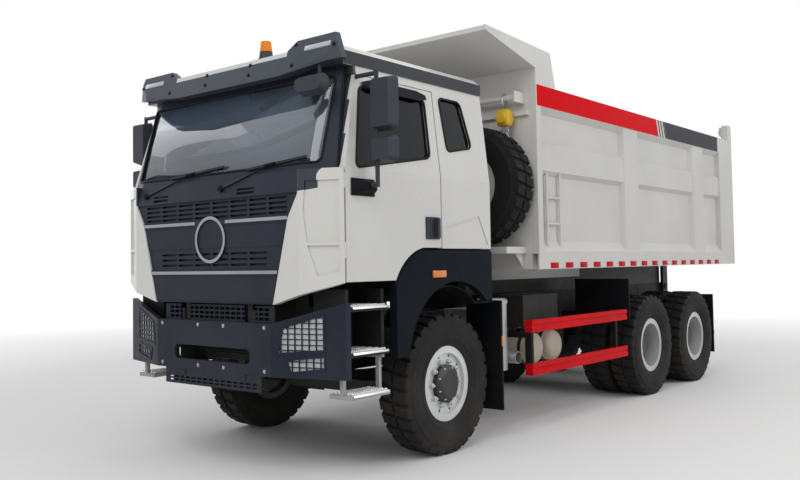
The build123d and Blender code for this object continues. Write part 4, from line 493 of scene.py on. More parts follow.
@dataclass(frozen=True)
class CornerPaint(Finish):
    """White corner panel with the cowl's dark colour round its upper inner corner."""

    edge_x: float = 1.077
    inner_x: float = 0.950
    low_z: float = 2.028
    low_rise: float = 0.15
    top_z: float = 2.190
    corner: float = 0.075
    dark: Colour = (0.017, 0.022, 0.036)

    def base(self, tree: NodeTree, place: Socket, tone: Socket) -> Socket:
        """White below a rounded line, dark above and inside it.

        Args:
            tree: the material's tree.
            place: the object's own coordinates.
            tone: slow change of tone.

        Returns:
            The colour.
        """
        x, _, z = tree.axes(place)
        reach = tree.math("ABSOLUTE", x)
        inward = tree.math("MAXIMUM", tree.less(self.edge_x + self.corner, reach))
        upward = tree.math("MAXIMUM", tree.less(z, self.top_z - self.corner))
        beyond = tree.over(tree.squares(inward, upward), self.corner * self.corner)
        rise = tree.times(tree.less(reach, self.inner_x), self.low_rise)
        above = tree.over(z, tree.math("ADD", rise, self.low_z))
        return tree.blend(tree.times(beyond, above), super().base(tree, place, tone), self.dark)


@dataclass(frozen=True)
class SplitPaint(Finish):
    """Paint with a second colour inside boxes of the object's own space, each given by two corners."""

    boxes: tuple[tuple[Point, Point], ...] = ()
    second: Colour = (0.5, 0.5, 0.5)

    def base(self, tree: NodeTree, place: Socket, tone: Socket) -> Socket:
        """First colour with the second one inside the boxes.

        Args:
            tree: the material's tree.
            place: the object's own coordinates.
            tone: slow change of tone.

        Returns:
            The colour.
        """
        axes = tree.axes(place)
        paint = super().base(tree, place, tone)
        for lowest, highest in self.boxes:
            inside = 1.0
            for axis, low, high in zip(axes, lowest, highest):
                inside = tree.times(tree.over(axis, low), tree.under(axis, high), inside)
            paint = tree.blend(inside, paint, self.second)
        return paint


@dataclass(frozen=True)
class Glazing(Surface):
    """Clear or tinted glass with a little haze."""

    tint: Colour
    rough: Pair = (0.004, 0.012)
    transmission: float = 0.9
    ior: float = 1.45
    alpha: float = 1.0

    def wire(self, tree: NodeTree, place: Socket, shader: bpy.types.Node) -> None:
        """Wire tint, haze and clearness into the shader.

        Args:
            tree: the material's tree.
            place: the object's own coordinates.
            shader: the material's shader.
        """
        drift = tree.group(SharedGroups.tone_drift(), Vector=place, Scale=1.2)
        darker = tuple(0.85 * channel for channel in self.tint)
        tree.feed(tree.blend(drift.outputs["Tone"], darker, self.tint), shader.inputs["Base Color"])
        tree.feed(tree.ramp(drift.outputs["Gloss"], 0.0, 1.0, *self.rough), shader.inputs["Roughness"])
        for label, value in (
            ("Transmission Weight", self.transmission), ("IOR", self.ior), ("Alpha", self.alpha),
        ):
            shader.inputs[label].default_value = value


class Finishes:
    """Every finish of the truck, by the maker's words for it."""

    # Boxes: the shell's inside faces, dark trim with painted shade; the roof front and header under the
    # visor, painted shade
    CAB_SHELL = SplitPaint(
        "cab_shell_paint", (0.575, 0.57, 0.545), (0.55, 0.545, 0.52), (0.27, 0.33), grain_strength=0.03,
        coat=0.3, dust=0.03, second=(0.034, 0.035, 0.040),
        boxes=(
            ((-1.190, -3.95, 1.20), (1.190, -2.19, 2.43)), ((-1.170, -3.95, 2.43), (1.170, -2.19, 2.68)),
            ((-1.145, -3.95, 2.68), (1.145, -2.19, 2.936)), ((-9.0, -9.0, 2.93), (9.0, -3.8645, 9.0)),
            ((-9.0, -9.0, 2.862), (9.0, -3.745, 2.93)),
        ),
    )
    CORNER = CornerPaint(
        "corner_paint", (0.615, 0.61, 0.58), (0.585, 0.58, 0.55), (0.27, 0.33), grain_strength=0.03,
        coat=0.25, dust=0.03,
    )
    BED_WHITE = BandedPaint(
        "bed_side_paint", (0.58, 0.575, 0.55), (0.54, 0.535, 0.51), (0.34, 0.46), specular=0.02, dust=0.06,
        dust_top=2.6,
    )
    BED_PAINT = Finish(
        "bed_paint", (0.61, 0.605, 0.58), (0.56, 0.555, 0.53), (0.34, 0.48), specular=0.15, dust=0.10,
        dust_top=2.8,
    )
    # Near-black box on the runners' lower parts: painted shade under the bed.
    BED_FLOOR = SplitPaint(
        "bed_floor_paint", (0.61, 0.605, 0.58), (0.56, 0.555, 0.53), (0.34, 0.48), specular=0.15, dust=0.12,
        dust_top=2.8, second=(0.013, 0.013, 0.015),
        boxes=(((-0.60, -9.0, 1.0), (0.60, 9.0, 1.335)), ((-0.60, 1.0, 1.0), (0.60, 9.0, 1.43))),
    )
    CHARCOAL = Finish(
        "charcoal_plastic", (0.017, 0.022, 0.036), (0.013, 0.017, 0.029), (0.40, 0.54), grain_scale=420.0,
        grain_strength=0.35, grain_depth=0.0006, specular=0.15, dust=0.07, dust_top=2.6,
    )
    ARCH = replace(
        CHARCOAL, name="arch_plastic", colour=(0.007, 0.010, 0.015), shade=(0.005, 0.007, 0.011),
        specular=0.04, dust=0.02, dust_top=1.6,
    )
    # Pale box along the visor's top edge between the pods: a painted highlight.
    VISOR = SplitPaint(
        "visor_plastic", (0.058, 0.068, 0.086), (0.050, 0.059, 0.075), (0.34, 0.46), grain_scale=420.0,
        grain_strength=0.25, grain_depth=0.0006, specular=0.15, dust=0.02, second=(0.56, 0.56, 0.57),
        boxes=(((-0.66, -9.0, 3.046), (0.66, 9.0, 3.2)),),
    )
    MIRROR_SHELL = Finish(
        "mirror_shell_plastic", (0.040, 0.044, 0.056), (0.032, 0.036, 0.047), (0.36, 0.50), grain_scale=420.0,
        grain_strength=0.3, grain_depth=0.0006, specular=0.15, dust=0.03,
    )
    BUMPER = Finish(
        "bumper_paint", (0.012, 0.017, 0.031), (0.009, 0.013, 0.025), (0.36, 0.50), grain_scale=300.0,
        grain_strength=0.25, specular=0.15, dust=0.10, dust_top=1.9,
    )
    FLAP = Finish(
        "flap_plastic", (0.005, 0.006, 0.008), (0.003, 0.004, 0.006), (0.50, 0.68), grain_scale=240.0,
        grain_strength=0.35, specular=0.10, dust=0.05, dust_top=1.6,
    )
    CHASSIS = Finish(
        "chassis_paint", (0.012, 0.012, 0.014), (0.007, 0.007, 0.008), (0.42, 0.62), grain_scale=60.0,
        grain_strength=0.3, specular=0.15, dust=0.22, dust_top=1.7,
    )
    RED = SplitPaint(
        "guard_red", (0.58, 0.004, 0.009), (0.48, 0.003, 0.007), (0.36, 0.48), specular=0.05, dust=0.02,
        dust_top=1.6, boxes=(((-9.0, -9.0, 0.604), (9.0, 9.0, 0.881)),), second=(0.012, 0.012, 0.014),
    )
    BEIGE = SplitPaint(
        "tank_beige", (0.50, 0.44, 0.35), (0.42, 0.37, 0.29), (0.32, 0.48), dust=0.15, dust_top=1.5,
        boxes=(((0.657, -9.0, 0.0), (0.691, 9.0, 9.0)), ((0.927, -9.0, 0.0), (0.961, 9.0, 9.0))),
        second=(0.014, 0.014, 0.015),
    )
    RUBBER = Finish(
        "tyre_rubber", (0.014, 0.014, 0.015), (0.009, 0.009, 0.010), (0.66, 0.84), drift_scale=4.0,
        grain_scale=160.0, grain_strength=0.4, grain_depth=0.0008, specular=0.15, dust=0.13, dust_top=1.5,
    )
    RIM = Finish(
        "rim_silver", (0.56, 0.57, 0.58), (0.47, 0.48, 0.49), (0.30, 0.45), metallic=0.45, grain_scale=140.0,
        dust_top=1.4,
    )
    # Dark inner side of the front rims (inner_x): painted shade.
    FRONT_RIM = WheelPaint(
        "front_rim_paint", (0.66, 0.67, 0.68), (0.56, 0.57, 0.58), (0.30, 0.45), metallic=0.35,
        grain_scale=140.0, dust=0.16, dust_top=1.4, hub_y=-2.670, inner_x=0.99,
        dish_colour=(0.64, 0.65, 0.66),
    )
    REAR_RIM_1 = WheelPaint(
        "rear_rim_1_paint", (0.58, 0.59, 0.60), (0.48, 0.49, 0.50), (0.30, 0.45), metallic=0.35,
        grain_scale=140.0, dust=0.26, dust_top=1.4, hub_y=1.155,
    )
    REAR_RIM_2 = replace(REAR_RIM_1, name="rear_rim_2_paint", hub_y=2.505)
    IRON = Finish(
        "cast_iron", (0.040, 0.039, 0.038), (0.024, 0.023, 0.022), (0.6, 0.8), metallic=0.4, grain_scale=45.0,
        grain_strength=0.55, grain_depth=0.0015, dust=0.35, dust_top=1.6,
    )
    STEEL = Finish(
        "dull_steel", (0.46, 0.46, 0.47), (0.36, 0.36, 0.37), (0.32, 0.5), metallic=0.85, grain_scale=30.0,
        stretch=(8.0, 8.0, 0.6), dust_top=1.6,
    )
    ALUMINIUM = Finish(
        "aluminium", (0.34, 0.335, 0.32), (0.27, 0.265, 0.255), (0.36, 0.52), metallic=0.75, grain_scale=30.0,
        stretch=(8.0, 0.6, 8.0), dust=0.3, dust_top=1.5,
    )
    CHROME = Finish(
        "chrome", (0.74, 0.75, 0.77), (0.64, 0.65, 0.67), (0.08, 0.18), metallic=1.0, grain_strength=0.03,
        dust=0.08,
    )
    TRIM_CHROME = Finish(
        "trim_chrome", (0.33, 0.34, 0.36), (0.26, 0.27, 0.29), (0.14, 0.26), metallic=1.0,
        grain_strength=0.03, dust=0.05,
    )
    FITTINGS = SplitPaint(
        "cab_fitting_plastic", (0.044, 0.048, 0.056), (0.036, 0.040, 0.047), (0.38, 0.52), grain_scale=300.0,
        specular=0.15, dust=0.05, boxes=(((0.0, -9.0, 3.214), (0.3, 9.0, 9.0)),), second=(0.74, 0.22, 0.012),
    )
    # Dark on the upper steps is painted shade under the door; the box keeps the lowest step's frame pale.
    STEPS = SplitPaint(
        "step_paint", (0.016, 0.017, 0.019), (0.011, 0.011, 0.013), (0.4, 0.6), grain_scale=60.0,
        grain_strength=0.3, specular=0.15, dust=0.15, dust_top=1.7,
        boxes=(((-9.0, -9.0, 0.5), (9.0, 9.0, 0.868)),), second=(0.36, 0.355, 0.34),
    )
    YELLOW = Finish(
        "hoist_yellow", (0.66, 0.42, 0.02), (0.55, 0.34, 0.015), (0.35, 0.5), dust=0.15, dust_top=4.0,
    )
    GASKET = Finish(
        "gasket_rubber", (0.010, 0.010, 0.011), (0.007, 0.007, 0.007), (0.55, 0.7), grain_scale=200.0,
        specular=0.15, dust=0.06,
    )
    MIRROR_GLASS = Finish(
        "mirror_glass", (0.86, 0.87, 0.88), (0.82, 0.83, 0.84), (0.02, 0.05), metallic=1.0,
        grain_strength=0.0, dust=0.03,
    )
    WHITE_LENS = Finish(
        "white_lens", (0.46, 0.48, 0.51), (0.36, 0.38, 0.41), (0.10, 0.2), coat=0.4, grain_scale=220.0,
        dust=0.05,
    )
    AMBER_LENS = Finish(
        "amber_lens", (0.72, 0.19, 0.010), (0.60, 0.15, 0.008), (0.10, 0.2), coat=0.6, grain_scale=220.0,
        dust=0.08,
    )
    RED_LENS = Finish(
        "red_lens", (0.50, 0.004, 0.007), (0.40, 0.003, 0.006), (0.2, 0.3), specular=0.03, grain_scale=220.0,
        dust=0.02,
    )
    SEAT_CLOTH = Finish(
        "seat_cloth", (0.060, 0.057, 0.054), (0.040, 0.038, 0.036), (0.75, 0.92), drift_scale=6.0,
        grain_scale=420.0, grain_strength=0.6, grain_depth=0.0012, dust=0.0,
    )
    CABIN = Finish(
        "cabin_trim", (0.050, 0.049, 0.048), (0.034, 0.033, 0.032), (0.55, 0.75), grain_scale=300.0,
        grain_strength=0.3, dust=0.0,
    )
    BOWL = Finish(
        "lamp_bowl", (0.93, 0.94, 0.95), (0.84, 0.85, 0.86), (0.16, 0.28), metallic=0.3, grain_strength=0.02,
        dust=0.0,
    )
    # Strong bluish tint: a painted sky reflection on the windscreen.
    SCREEN = Glazing("screen_glass", (0.46, 0.58, 0.74), ior=1.8)
    SIDE_GLASS = Glazing("side_glass", (0.040, 0.050, 0.064), ior=1.3)
    LAMP = Glazing("lamp_glass", (0.80, 0.82, 0.84), transmission=0.0, alpha=0.36)


class Dresser:
    """Gives every CAD node its finish."""

    # Finish and the nodes that wear it, without the word for their side
    wardrobe: tuple[tuple[Surface, str], ...] = (
        (Finishes.CHASSIS, "ladder_frame leaf_springs battery_box rear_underrun cab_floor hoist_barrels"),
        (Finishes.IRON, "axles driveline knuckle tie_rod"),
        (Finishes.CAB_SHELL, "cab_back cab_sides cab_roof door"),
        (Finishes.CHARCOAL, "cab_front front_fascia"),
        (Finishes.SIDE_GLASS, "quarter_windows door_window"),
        (Finishes.CABIN, "cab_interior steering_wheel"),
        (Finishes.BED_PAINT, "bed_front spare_carrier tailgate"),
        (Finishes.RUBBER, "front_tyre rear_tyres_1 rear_tyres_2 spare_tyre"),
        (Finishes.BUMPER, "front_bumper"),
        (Finishes.LAMP, "lamps"),
        (Finishes.STEPS, "entry_steps"),
        (Finishes.ALUMINIUM, "fuel_tank"),
        (Finishes.BEIGE, "air_tanks"),
        (Finishes.STEEL, "exhaust_box"),
        (Finishes.RED, "side_guards"),
        (Finishes.FLAP, "mudguards"),
        (Finishes.SCREEN, "windscreen"),
        (Finishes.CORNER, "corner_panels"),
        (Finishes.VISOR, "roof_visor"),
        (Finishes.ARCH, "wheel_arches"),
        (Finishes.MIRROR_SHELL, "door_fittings"),
        (Finishes.BED_FLOOR, "bed_floor"),
        (Finishes.BED_WHITE, "bed_sides"),
        (Finishes.RIM, "spare_rim"),
        (Finishes.FRONT_RIM, "front_rim"),
        (Finishes.REAR_RIM_1, "rear_rims_1"),
        (Finishes.REAR_RIM_2, "rear_rims_2"),
        (Finishes.TRIM_CHROME, "grille_trim"),
        (Finishes.FITTINGS, "cab_fittings"),
        (Finishes.SEAT_CLOTH, "seats"),
        (Finishes.CHROME, "hoist_rods"),
    )

    def build(self) -> None:
        """Put one material on each CAD node."""
        worn = {node: finish for finish, nodes in self.wardrobe for node in nodes.split()}
        for name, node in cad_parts.items():
            family = name.removesuffix("_left").removesuffix("_right")
            node.data.materials.clear()
            node.data.materials.append(worn[family].material())
        LOG.info("dressed %d CAD nodes", len(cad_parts))


def move(*by: float) -> Step:
    """Step that moves what is picked."""
    return lambda: bpy.ops.transform.translate(value=by)


def size(*by: float) -> Step:
    """Step that scales what is picked about its middle."""
    return lambda: bpy.ops.transform.resize(value=by)


def pull(*by: float) -> Step:
    """Step that extrudes what is picked."""
    return lambda: bpy.ops.mesh.extrude_region_move(TRANSFORM_OT_translate={"value": by})


def inset(width: float, depth: float = 0.0, alone: bool = False) -> Step:
    """Step that insets the picked faces, as one region or each one alone."""
    return lambda: bpy.ops.mesh.inset(thickness=width, depth=depth, use_individual=alone)


def subdivide(cuts: int) -> Step:
    """Step that cuts what is picked into a grid."""
    return lambda: bpy.ops.mesh.subdivide(number_cuts=cuts)


class Bench:
    """Modelling bench: starts primitives, shapes them in edit mode and finishes meshes."""

    @staticmethod
    def clear() -> None:
        """Leave edit mode and deselect everything."""
        if bpy.context.object and bpy.context.object.mode != "OBJECT":
            bpy.ops.object.mode_set(mode="OBJECT")
        bpy.ops.object.select_all(action="DESELECT")

    @classmethod
    def take(cls, *pieces: Piece) -> None:
        """Select these pieces only.

        Args:
            *pieces: the pieces, the active one first.
        """
        cls.clear()
        for piece in pieces:
            piece.select_set(True)
        bpy.context.view_layer.objects.active = pieces[0]

    @staticmethod
    def settle(name: str, scale: Point = (1.0, 1.0, 1.0)) -> Piece:
        """Name the new primitive, scale it and put its place into its mesh.

        Args:
            name: the new piece's name.
            scale: its scale along its own axes.

        Returns:
            The piece.
        """
        made = bpy.context.active_object
        made.name = name
        made.scale = scale
        bpy.ops.object.transform_apply(location=True, rotation=True, scale=True)
        return made

    @classmethod
    def box(cls, name: str, low: Point, high: Point) -> Piece:
        """Cube primitive between two corners.

        Args:
            name: the new piece's name.
            low: lowest corner in metres.
            high: highest corner in metres.

        Returns:
            The piece, with its place in its mesh.
        """
        cls.clear()
        bpy.ops.mesh.primitive_cube_add(size=1.0, location=(Vector(low) + Vector(high)) / 2)
        return cls.settle(name, Vector(high) - Vector(low))

    @classmethod
    def block(cls, name: str, low: Point, high: Point, edge: float, segments: int = 2) -> Piece:
        """Cube primitive with rounded edges.

        Args:
            name: the new piece's name.
            low: lowest corner in metres.
            high: highest corner in metres.
            edge: width of the rounding.
            segments: number of its faces.

        Returns:
            The piece, with its place in its mesh.
        """
        piece = cls.box(name, low, high)
        cls.soften(piece, edge, segments)
        return piece

    @classmethod
    def rod(cls, name: str, start: Point, end: Point, radius: float, sides: int) -> Piece:
        """Cylinder primitive between two points.

        Args:
            name: the new piece's name.
            start: middle of one end.
            end: middle of the other end.
            radius: of the cylinder.
            sides: number of its side faces.

        Returns:
            The piece, with its place in its mesh.
        """
        cls.clear()
        run = Vector(end) - Vector(start)
        bpy.ops.mesh.primitive_cylinder_add(
            vertices=sides, radius=radius, depth=run.length, location=(Vector(start) + Vector(end)) / 2,
            rotation=run.to_track_quat("Z", "Y").to_euler(),
        )
        return cls.settle(name)

    @classmethod
    def loop(cls, name: str, corners: Iterable[Point]) -> Piece:
        """Closed loop of edges through corners.

        Args:
            name: the new piece's name.
            corners: the loop's points in order.

        Returns:
            The piece, edges only.
        """
        cls.clear()
        points = list(corners)
        bpy.ops.mesh.primitive_circle_add(vertices=len(points), radius=1.0, fill_type="NOTHING")
        made = cls.settle(name)
        for vertex, point in zip(made.data.vertices, points):
            vertex.co = point
        return made

    @classmethod
    def whole(cls, piece: Piece, *steps: Step) -> None:
        """Work on the whole piece in edit mode.

        Args:
            piece: the piece.
            *steps: what to do, in order.
        """
        cls.take(piece)
        bpy.ops.object.mode_set(mode="EDIT")
        bpy.ops.mesh.select_all(action="SELECT")
        for step in steps:
            step()
        bpy.ops.object.mode_set(mode="OBJECT")

    @classmethod
    def shape(cls, piece: Piece, way: Way, *steps: Step, both: bool = False) -> None:
        """Work in edit mode on the faces that look one way.

        Args:
            piece: the piece.
            way: where the faces look.
            *steps: what to do, in order.
            both: take the faces that look the opposite way too.
        """
        cls.take(piece)
        bpy.context.tool_settings.mesh_select_mode = (False, False, True)
        bpy.ops.object.mode_set(mode="EDIT")
        bpy.ops.mesh.select_all(action="DESELECT")
        bpy.ops.object.mode_set(mode="OBJECT")
        towards = Vector(way.value)
        for face in piece.data.polygons:
            facing = face.normal.dot(towards)
            face.select = facing > FACING or (both and facing < -FACING)
        bpy.ops.object.mode_set(mode="EDIT")
        for step in steps:
            step()
        bpy.ops.object.mode_set(mode="OBJECT")

    @classmethod
    def close(cls, piece: Piece) -> None:
        """Merge doubles and turn the faces outwards."""
        cls.whole(
            piece, lambda: bpy.ops.mesh.remove_doubles(threshold=MERGE_GAP),
            lambda: bpy.ops.mesh.normals_make_consistent(inside=False),
        )

    @classmethod
    def modify(cls, piece: Piece, kind: str, **settings: object) -> None:
        """Add a modifier and apply it.

        Args:
            piece: the piece.
            kind: Blender's type name, such as BEVEL.
            **settings: the modifier's properties.
        """
        cls.take(piece)
        modifier = piece.modifiers.new(kind.lower(), kind)
        for key, value in settings.items():
            setattr(modifier, key, value)
        bpy.ops.object.modifier_apply(modifier=modifier.name)

    @classmethod
    def soften(cls, piece: Piece, width: float, segments: int) -> None:
        """Round every sharp edge by a bevel."""
        cls.modify(piece, "BEVEL", width=width, segments=segments, limit_method="ANGLE", angle_limit=0.6)

    @classmethod
    def array(cls, piece: Piece, count: int, run: Point) -> None:
        """Repeat a piece in a row, one run apart."""
        cls.modify(
            piece, "ARRAY", count=count, use_relative_offset=False, use_constant_offset=True,
            constant_offset_displace=run,
        )

    @staticmethod
    def copy(piece: Piece, name: str, place: Matrix) -> Piece:
        """Copy a piece with its own mesh.

        Args:
            piece: the finished piece.
            name: the copy's name.
            place: matrix that its points are moved by.

        Returns:
            The copy.
        """
        made = piece.copy()
        made.data = piece.data.copy()
        made.name = name
        made.data.transform(place)
        if place.determinant() < 0.0:
            made.data.flip_normals()
        bpy.context.scene.collection.objects.link(made)
        return made

    @classmethod
    def join(cls, name: str, pieces: list[Piece]) -> Piece:
        """Join pieces to one mesh of this name.

        Args:
            name: the joined piece's name.
            pieces: the pieces.

        Returns:
            The joined piece.
        """
        cls.take(*pieces)
        if len(pieces) > 1:
            bpy.ops.object.join()
        made = bpy.context.active_object
        made.name = name
        return made

    @classmethod
    def mirrored(cls, name: str, left: Piece) -> Piece:
        """A piece and its mirror image on the other side, joined under one name."""
        return cls.join(name, [left, cls.copy(left, f"{name}_other", MIRROR)])

    @classmethod
    def twins(cls, stem: str, left: Piece) -> list[tuple[Side, Piece]]:
        """A piece of the left side and its mirror image, each named for its side."""
        left.name = f"{stem}_left"
        return [(Side.LEFT, left), (Side.RIGHT, cls.copy(left, f"{stem}_right", MIRROR))]

    @classmethod
    def finish(
        cls, piece: Piece, finish: Surface, body: Body | str, slot: str, angle: float = 40.0,
        replaces: str = "",
    ) -> None:
        """Dress a piece, shade it and hang it on its body.

        Args:
            piece: the piece.
            finish: finish that its material is made from.
            body: CAD body that it rides on, or its name.
            slot: not used.
            angle: edges sharper than this many degrees stay sharp.
            replaces: CAD node that it stands in for, if any.
        """
        cls.take(piece)
        bpy.ops.object.shade_smooth_by_angle(angle=math.radians(angle))
        piece.data.materials.clear()
        piece.data.materials.append(finish.material())
        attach(piece, body.value if isinstance(body, Body) else body)
        if replaces:
            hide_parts(replaces)
        LOG.info("made %s", piece.name)


@dataclass
class Tyres:
    """Road tyres with ribbed sidewalls and block lugs, in place of the plain tyre solids."""

    radius: float = 0.556
    half_tread: float = 0.131
    half_width: float = 0.1575
    root: float = 0.533
    bore: float = 0.2985
    bead_half: float = 0.116
    twin_half: float = 0.175
    steps: int = 72
    lugs: int = 30
    lug_half: float = 0.046
    lug_skew: float = 0.026
    shoulder_drop: float = 0.046

    def carcass(self) -> Piece:
        """Sidewalls, beads and tread base: one profile spun about the axle.

        Returns:
            The carcass.
        """
        outer = [
            (self.bead_half, self.bore), (self.bead_half + 0.012, self.bore + 0.006), (0.138, 0.335),
            (0.145, 0.352), (0.1485, 0.354), (0.1515, 0.372), (0.1495, 0.375), (0.1555, 0.405),
            (self.half_width, 0.432), (0.1572, 0.455), (0.1530, 0.478), (0.1545, 0.482), (0.1500, 0.498),
            (0.1460, 0.502), (0.1390, 0.520), (self.half_tread, self.root),
            (0.5 * self.half_tread, self.root + 0.004),
        ]
        ring = [(-x, 0.0, r) for x, r in outer] + [(x, 0.0, r) for x, r in reversed(outer)]
        piece = Bench.loop("tyre_carcass", ring)
        axle = {"center": (0.0, 0.0, 0.0), "axis": Way.LEFT.value}
        Bench.whole(piece, lambda: bpy.ops.mesh.spin(steps=self.steps, angle=2.0 * math.pi, **axle))
        Bench.close(piece)
        return piece

    def lug(self) -> Piece:
        """One block lug at the top of the tyre's left half, running down on to the shoulder.

        Returns:
            The lug.
        """
        low = (0.010, -self.lug_half, self.root - 0.008)
        piece = Bench.box("lug", low, (self.half_tread + 0.004, self.lug_half, self.radius))
        Bench.shape(piece, Way.UP, size(0.96, 0.86, 1.0))
        Bench.shape(piece, Way.RIGHT, move(0.0, self.lug_skew, 0.0))
        Bench.shape(piece, Way.LEFT, pull(0.012, -0.004, -self.shoulder_drop), size(1.0, 0.80, 0.6))
        Bench.soften(piece, 0.003, 1)
        return piece

    def master(self) -> Piece:
        """One whole tyre about the X axis at the origin.

        Returns:
            The tyre.
        """
        parts = [self.carcass()]
        lug = self.lug()
        pitch = 2.0 * math.pi / self.lugs
        half_turn = Matrix.Rotation(math.pi, 4, "Z")
        for index in range(self.lugs):
            parts.append(Bench.copy(lug, "lug_copy", Matrix.Rotation(index * pitch, 4, "X")))
            between = Matrix.Rotation((index + 0.5) * pitch, 4, "X")
            parts.append(Bench.copy(lug, "lug_copy", between @ half_turn))
        bpy.data.objects.remove(lug)
        return Bench.join("tyre_master", parts)

    def place(self, master: Piece, node: str, body: Body | str, shifts: Iterable[float], turn: float) -> None:
        """Stand copies of the tyre in place of a CAD node.

        Args:
            master: the tyre at the origin.
            node: CAD node that the copies replace.
            body: body that they ride on.
            shifts: how far along X each copy stands from the node's middle.
            turn: angle about Z in degrees.
        """
        copies = []
        for shift in shifts:
            spot = Matrix.Translation(middle_of(node) + Vector((shift, 0.0, 0.0)))
            copies.append(Bench.copy(master, node, spot @ turned(turn, "Z")))
        Bench.finish(Bench.join(f"{node}_road", copies), Finishes.RUBBER, body, "tyre", 35.0, node)

    def build(self) -> None:
        """Dress every wheel and the spare with a tyre."""
        master = self.master()
        twins = (self.twin_half, -self.twin_half)
        for side in Side:
            turn = 0.0 if side is Side.LEFT else 180.0
            self.place(master, f"front_tyre_{side.word}", f"front_wheel_{side.word}", (0.0,), turn)
            for number in (1, 2):
                body = f"rear_wheel_{number}_{side.word}"
                self.place(master, f"rear_tyres_{number}_{side.word}", body, twins, turn)
        self.place(master, "spare_tyre", Body.BED, (0.0,), -90.0)
        bpy.data.objects.remove(master)


@dataclass
class WheelNuts:
    """Wheel nuts with their studs, and the small bolts round each hub cap."""

    nut_circle: float = 0.1785
    nut_count: int = 10
    nut_radius: float = 0.021
    nut_height: float = 0.028
    stud_radius: float = 0.012
    stud_height: float = 0.016
    cap_circle: float = 0.128
    cap_count: int = 8
    cap_scale: float = 0.45
    front_face_x: float = 0.086
    rear_face_x: float = 0.012
    front_hub_x: float = 0.124
    rear_hub_x: float = 0.191

    def nut(self) -> Piece:
        """Six-sided nut with its stud end, along X from the origin.

        Returns:
            The nut.
        """
        piece = Bench.rod("nut", (-0.002, 0.0, 0.0), (self.nut_height, 0.0, 0.0), self.nut_radius, 6)
        foot = inset(self.nut_radius - self.stud_radius)
        Bench.shape(piece, Way.LEFT, foot, pull(self.stud_height, 0.0, 0.0))
        Bench.soften(piece, 0.002, 1)
        return piece

    def ring(self, nut: Piece, face_x: float, hub_x: float, side: Side) -> list[Piece]:
        """Nuts and cap bolts of one wheel about the X axis.

        Args:
            nut: the master nut.
            face_x: the disc's outer face from the wheel's middle.
            hub_x: the hub's outer face from the wheel's middle.
            side: side of the truck that the wheel is on.

        Returns:
            The copies.
        """
        flip = Matrix.Rotation(0.0 if side is Side.LEFT else math.pi, 4, "Z")
        made = []
        for circle, count, x, scale in (
            (self.nut_circle, self.nut_count, face_x, 1.0),
            (self.cap_circle, self.cap_count, hub_x, self.cap_scale),
        ):
            spot = Matrix.Translation((x, 0.0, circle)) @ Matrix.Scale(scale, 4)
            for index in range(count):
                spoke = Matrix.Rotation((index + 0.5) * 2.0 * math.pi / count, 4, "X")
                made.append(Bench.copy(nut, "nut_copy", flip @ spoke @ spot))
        return made

    def build(self) -> None:
        """Put nuts on every road wheel."""
        nut = self.nut()
        rear = (self.rear_face_x, self.rear_hub_x)
        for side in Side:
            for node, stem, face_x, hub_x in (
                ("front_tyre", "front_wheel", self.front_face_x, self.front_hub_x),
                ("rear_tyres_1", "rear_wheel_1", *rear), ("rear_tyres_2", "rear_wheel_2", *rear),
            ):
                body = f"{stem}_{side.word}"
                piece = Bench.join(f"{body}_nuts", self.ring(nut, face_x, hub_x, side))
                piece.data.transform(Matrix.Translation(middle_of(f"{node}_{side.word}")))
                Bench.finish(piece, Finishes.RIM, body, "rim_silver", 30.0)
        bpy.data.objects.remove(nut)


